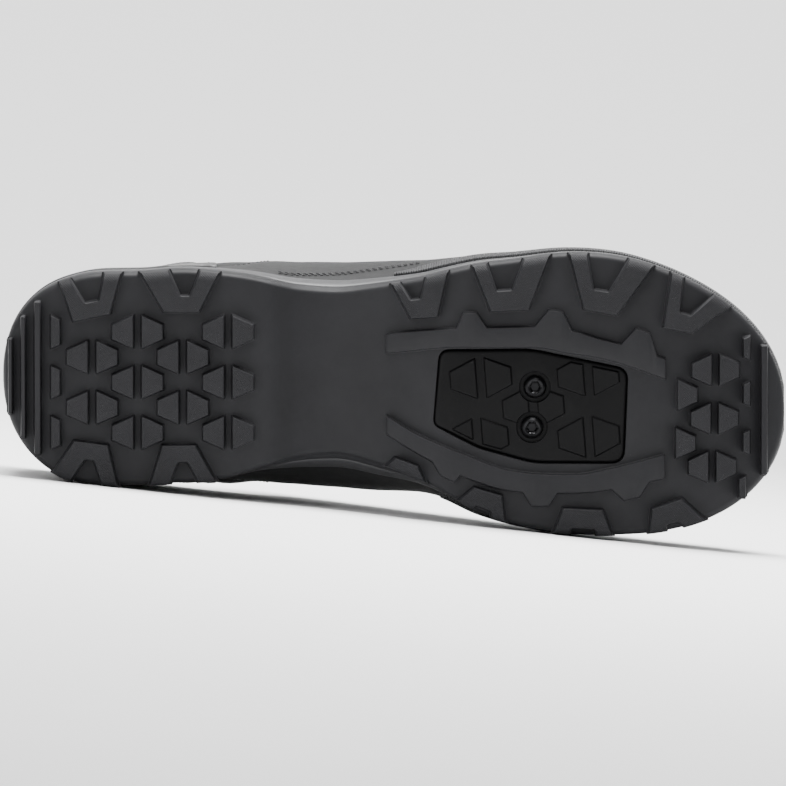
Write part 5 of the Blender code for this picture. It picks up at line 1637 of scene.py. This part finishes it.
class SHOE_OT_stage(bpy.types.Operator):
    """Sets the floor, the soft light and the camera at the photograph's angle"""
    bl_idname = "shoe.stage"
    bl_label = "Stage"

    def execute(self, context):
        settings = context.scene.shoe_stage
        bend_start = FLOOR_BACK - FLOOR_BEND
        profile = [(FLOOR_FRONT, 0.0), (bend_start, 0.0)]
        profile += [(bend_start + FLOOR_BEND * math.sin(a), FLOOR_BEND * (1 - math.cos(a)))
                    for a in np.linspace(0.1, math.pi / 2, 12)]
        profile.append((FLOOR_BACK, FLOOR_WALL))
        mesh = bpy.data.meshes.new("floor")
        points = [(side * FLOOR_SIDE, y, z) for y, z in profile for side in (-1, 1)]
        faces = [(2 * i, 2 * i + 1, 2 * i + 3, 2 * i + 2) for i in range(len(profile) - 1)]
        mesh.from_pydata(points, [], faces)
        mesh.shade_smooth()
        paper = make_finish(
            "paper", *tones(settings.floor, 0.98, 1.0), 0.85, (("grain", 0.002, 0.00002),), 0.4)
        # The wall is seen through from behind, so that the shoe can be looked at from there
        tree = paper.node_tree
        clear, facing = tree.nodes.new("ShaderNodeBsdfTransparent"), tree.nodes.new("ShaderNodeNewGeometry")
        mix = add_node(tree, "ShaderNodeMixShader", {
            "Fac": facing.outputs["Backfacing"], 1: tree.nodes["Principled BSDF"].outputs["BSDF"],
            2: clear.outputs["BSDF"]})
        tree.links.new(mix.outputs["Shader"], tree.nodes["Material Output"].inputs["Surface"])
        mesh.materials.append(paper)
        backdrop = bpy.data.objects.new("floor", mesh)
        context.scene.collection.objects.link(backdrop)

        world = bpy.data.worlds.new("soft_room")
        context.scene.world = world
        world.use_nodes = True
        background = world.node_tree.nodes["Background"]
        background.inputs["Color"].default_value = (1, 1, 1, 1)
        background.inputs["Strength"].default_value = settings.fill

        middle = POSE @ Vector((SOLE_LENGTH / 2, 0, 0))
        for name, place, size, share in LAMPS:
            lamp = bpy.data.lights.new(name, "AREA")
            lamp.shape = "DISK"
            lamp.size = size
            lamp.energy = share * settings.key_power
            light = bpy.data.objects.new(name, lamp)
            context.scene.collection.objects.link(light)
            light.location = place
            light.rotation_euler = (middle - Vector(place)).to_track_quat("-Z", "Y").to_euler()

        camera = bpy.data.objects.new("camera", bpy.data.cameras.new("camera"))
        context.scene.collection.objects.link(camera)
        context.scene.camera = camera
        across = POSE.to_3x3() @ Vector((1, 0, 0))
        back = Vector((0, -math.cos(settings.height_angle), math.sin(settings.height_angle)))
        upright = (-across).cross(back).normalized()
        sideways = upright.cross(back)
        centre = POSE @ Vector((PICTURE_CENTRE[0], PICTURE_CENTRE[1], LUG_HEIGHT))
        camera.matrix_world = Matrix.Translation(centre + back * settings.distance) @ Matrix(
            (sideways, upright, back)).transposed().to_4x4()
        camera.data.sensor_width = SENSOR_WIDTH
        camera.data.lens = SENSOR_WIDTH * settings.distance / PICTURE_WIDTH
        camera.data.clip_start, camera.data.clip_end = 0.05, 20
        return {"FINISHED"}


class SHOE_PT_pieces(bpy.types.Panel):
    bl_label = "Cycling shoe"
    bl_idname = "SHOE_PT_pieces"
    bl_space_type = "VIEW_3D"
    bl_region_type = "UI"
    bl_category = "Shoe"

    def draw(self, context):
        for group in ("shoe_sole", "shoe_upper", "shoe_stage"):
            settings = getattr(context.scene, group)
            box = self.layout.box()
            for name in settings.__annotations__:
                box.prop(settings, name)
        for operator in OPERATORS:
            self.layout.operator(operator.bl_idname)


OPERATORS = (SHOE_OT_outsole, SHOE_OT_midsole, SHOE_OT_cleat_cover, SHOE_OT_upper, SHOE_OT_overlays,
             SHOE_OT_straps, SHOE_OT_tongue, SHOE_OT_insole, SHOE_OT_seams, SHOE_OT_stage)
GROUPS = {"shoe_sole": ShoeSoleSettings, "shoe_upper": ShoeUpperSettings, "shoe_stage": ShoeStageSettings}
CLASSES = (*GROUPS.values(), *OPERATORS, SHOE_PT_pieces)


def register():
    for cls in CLASSES:
        bpy.utils.register_class(cls)
    for name, group in GROUPS.items():
        setattr(bpy.types.Scene, name, PointerProperty(type=group))


def unregister():
    for name in GROUPS:
        delattr(bpy.types.Scene, name)
    for cls in reversed(CLASSES):
        bpy.utils.unregister_class(cls)


def main():
    register()
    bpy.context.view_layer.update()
    for operator in OPERATORS:
        group, name = operator.bl_idname.split(".")
        getattr(getattr(bpy.ops, group), name)()


if __name__ == "__main__":
    main()
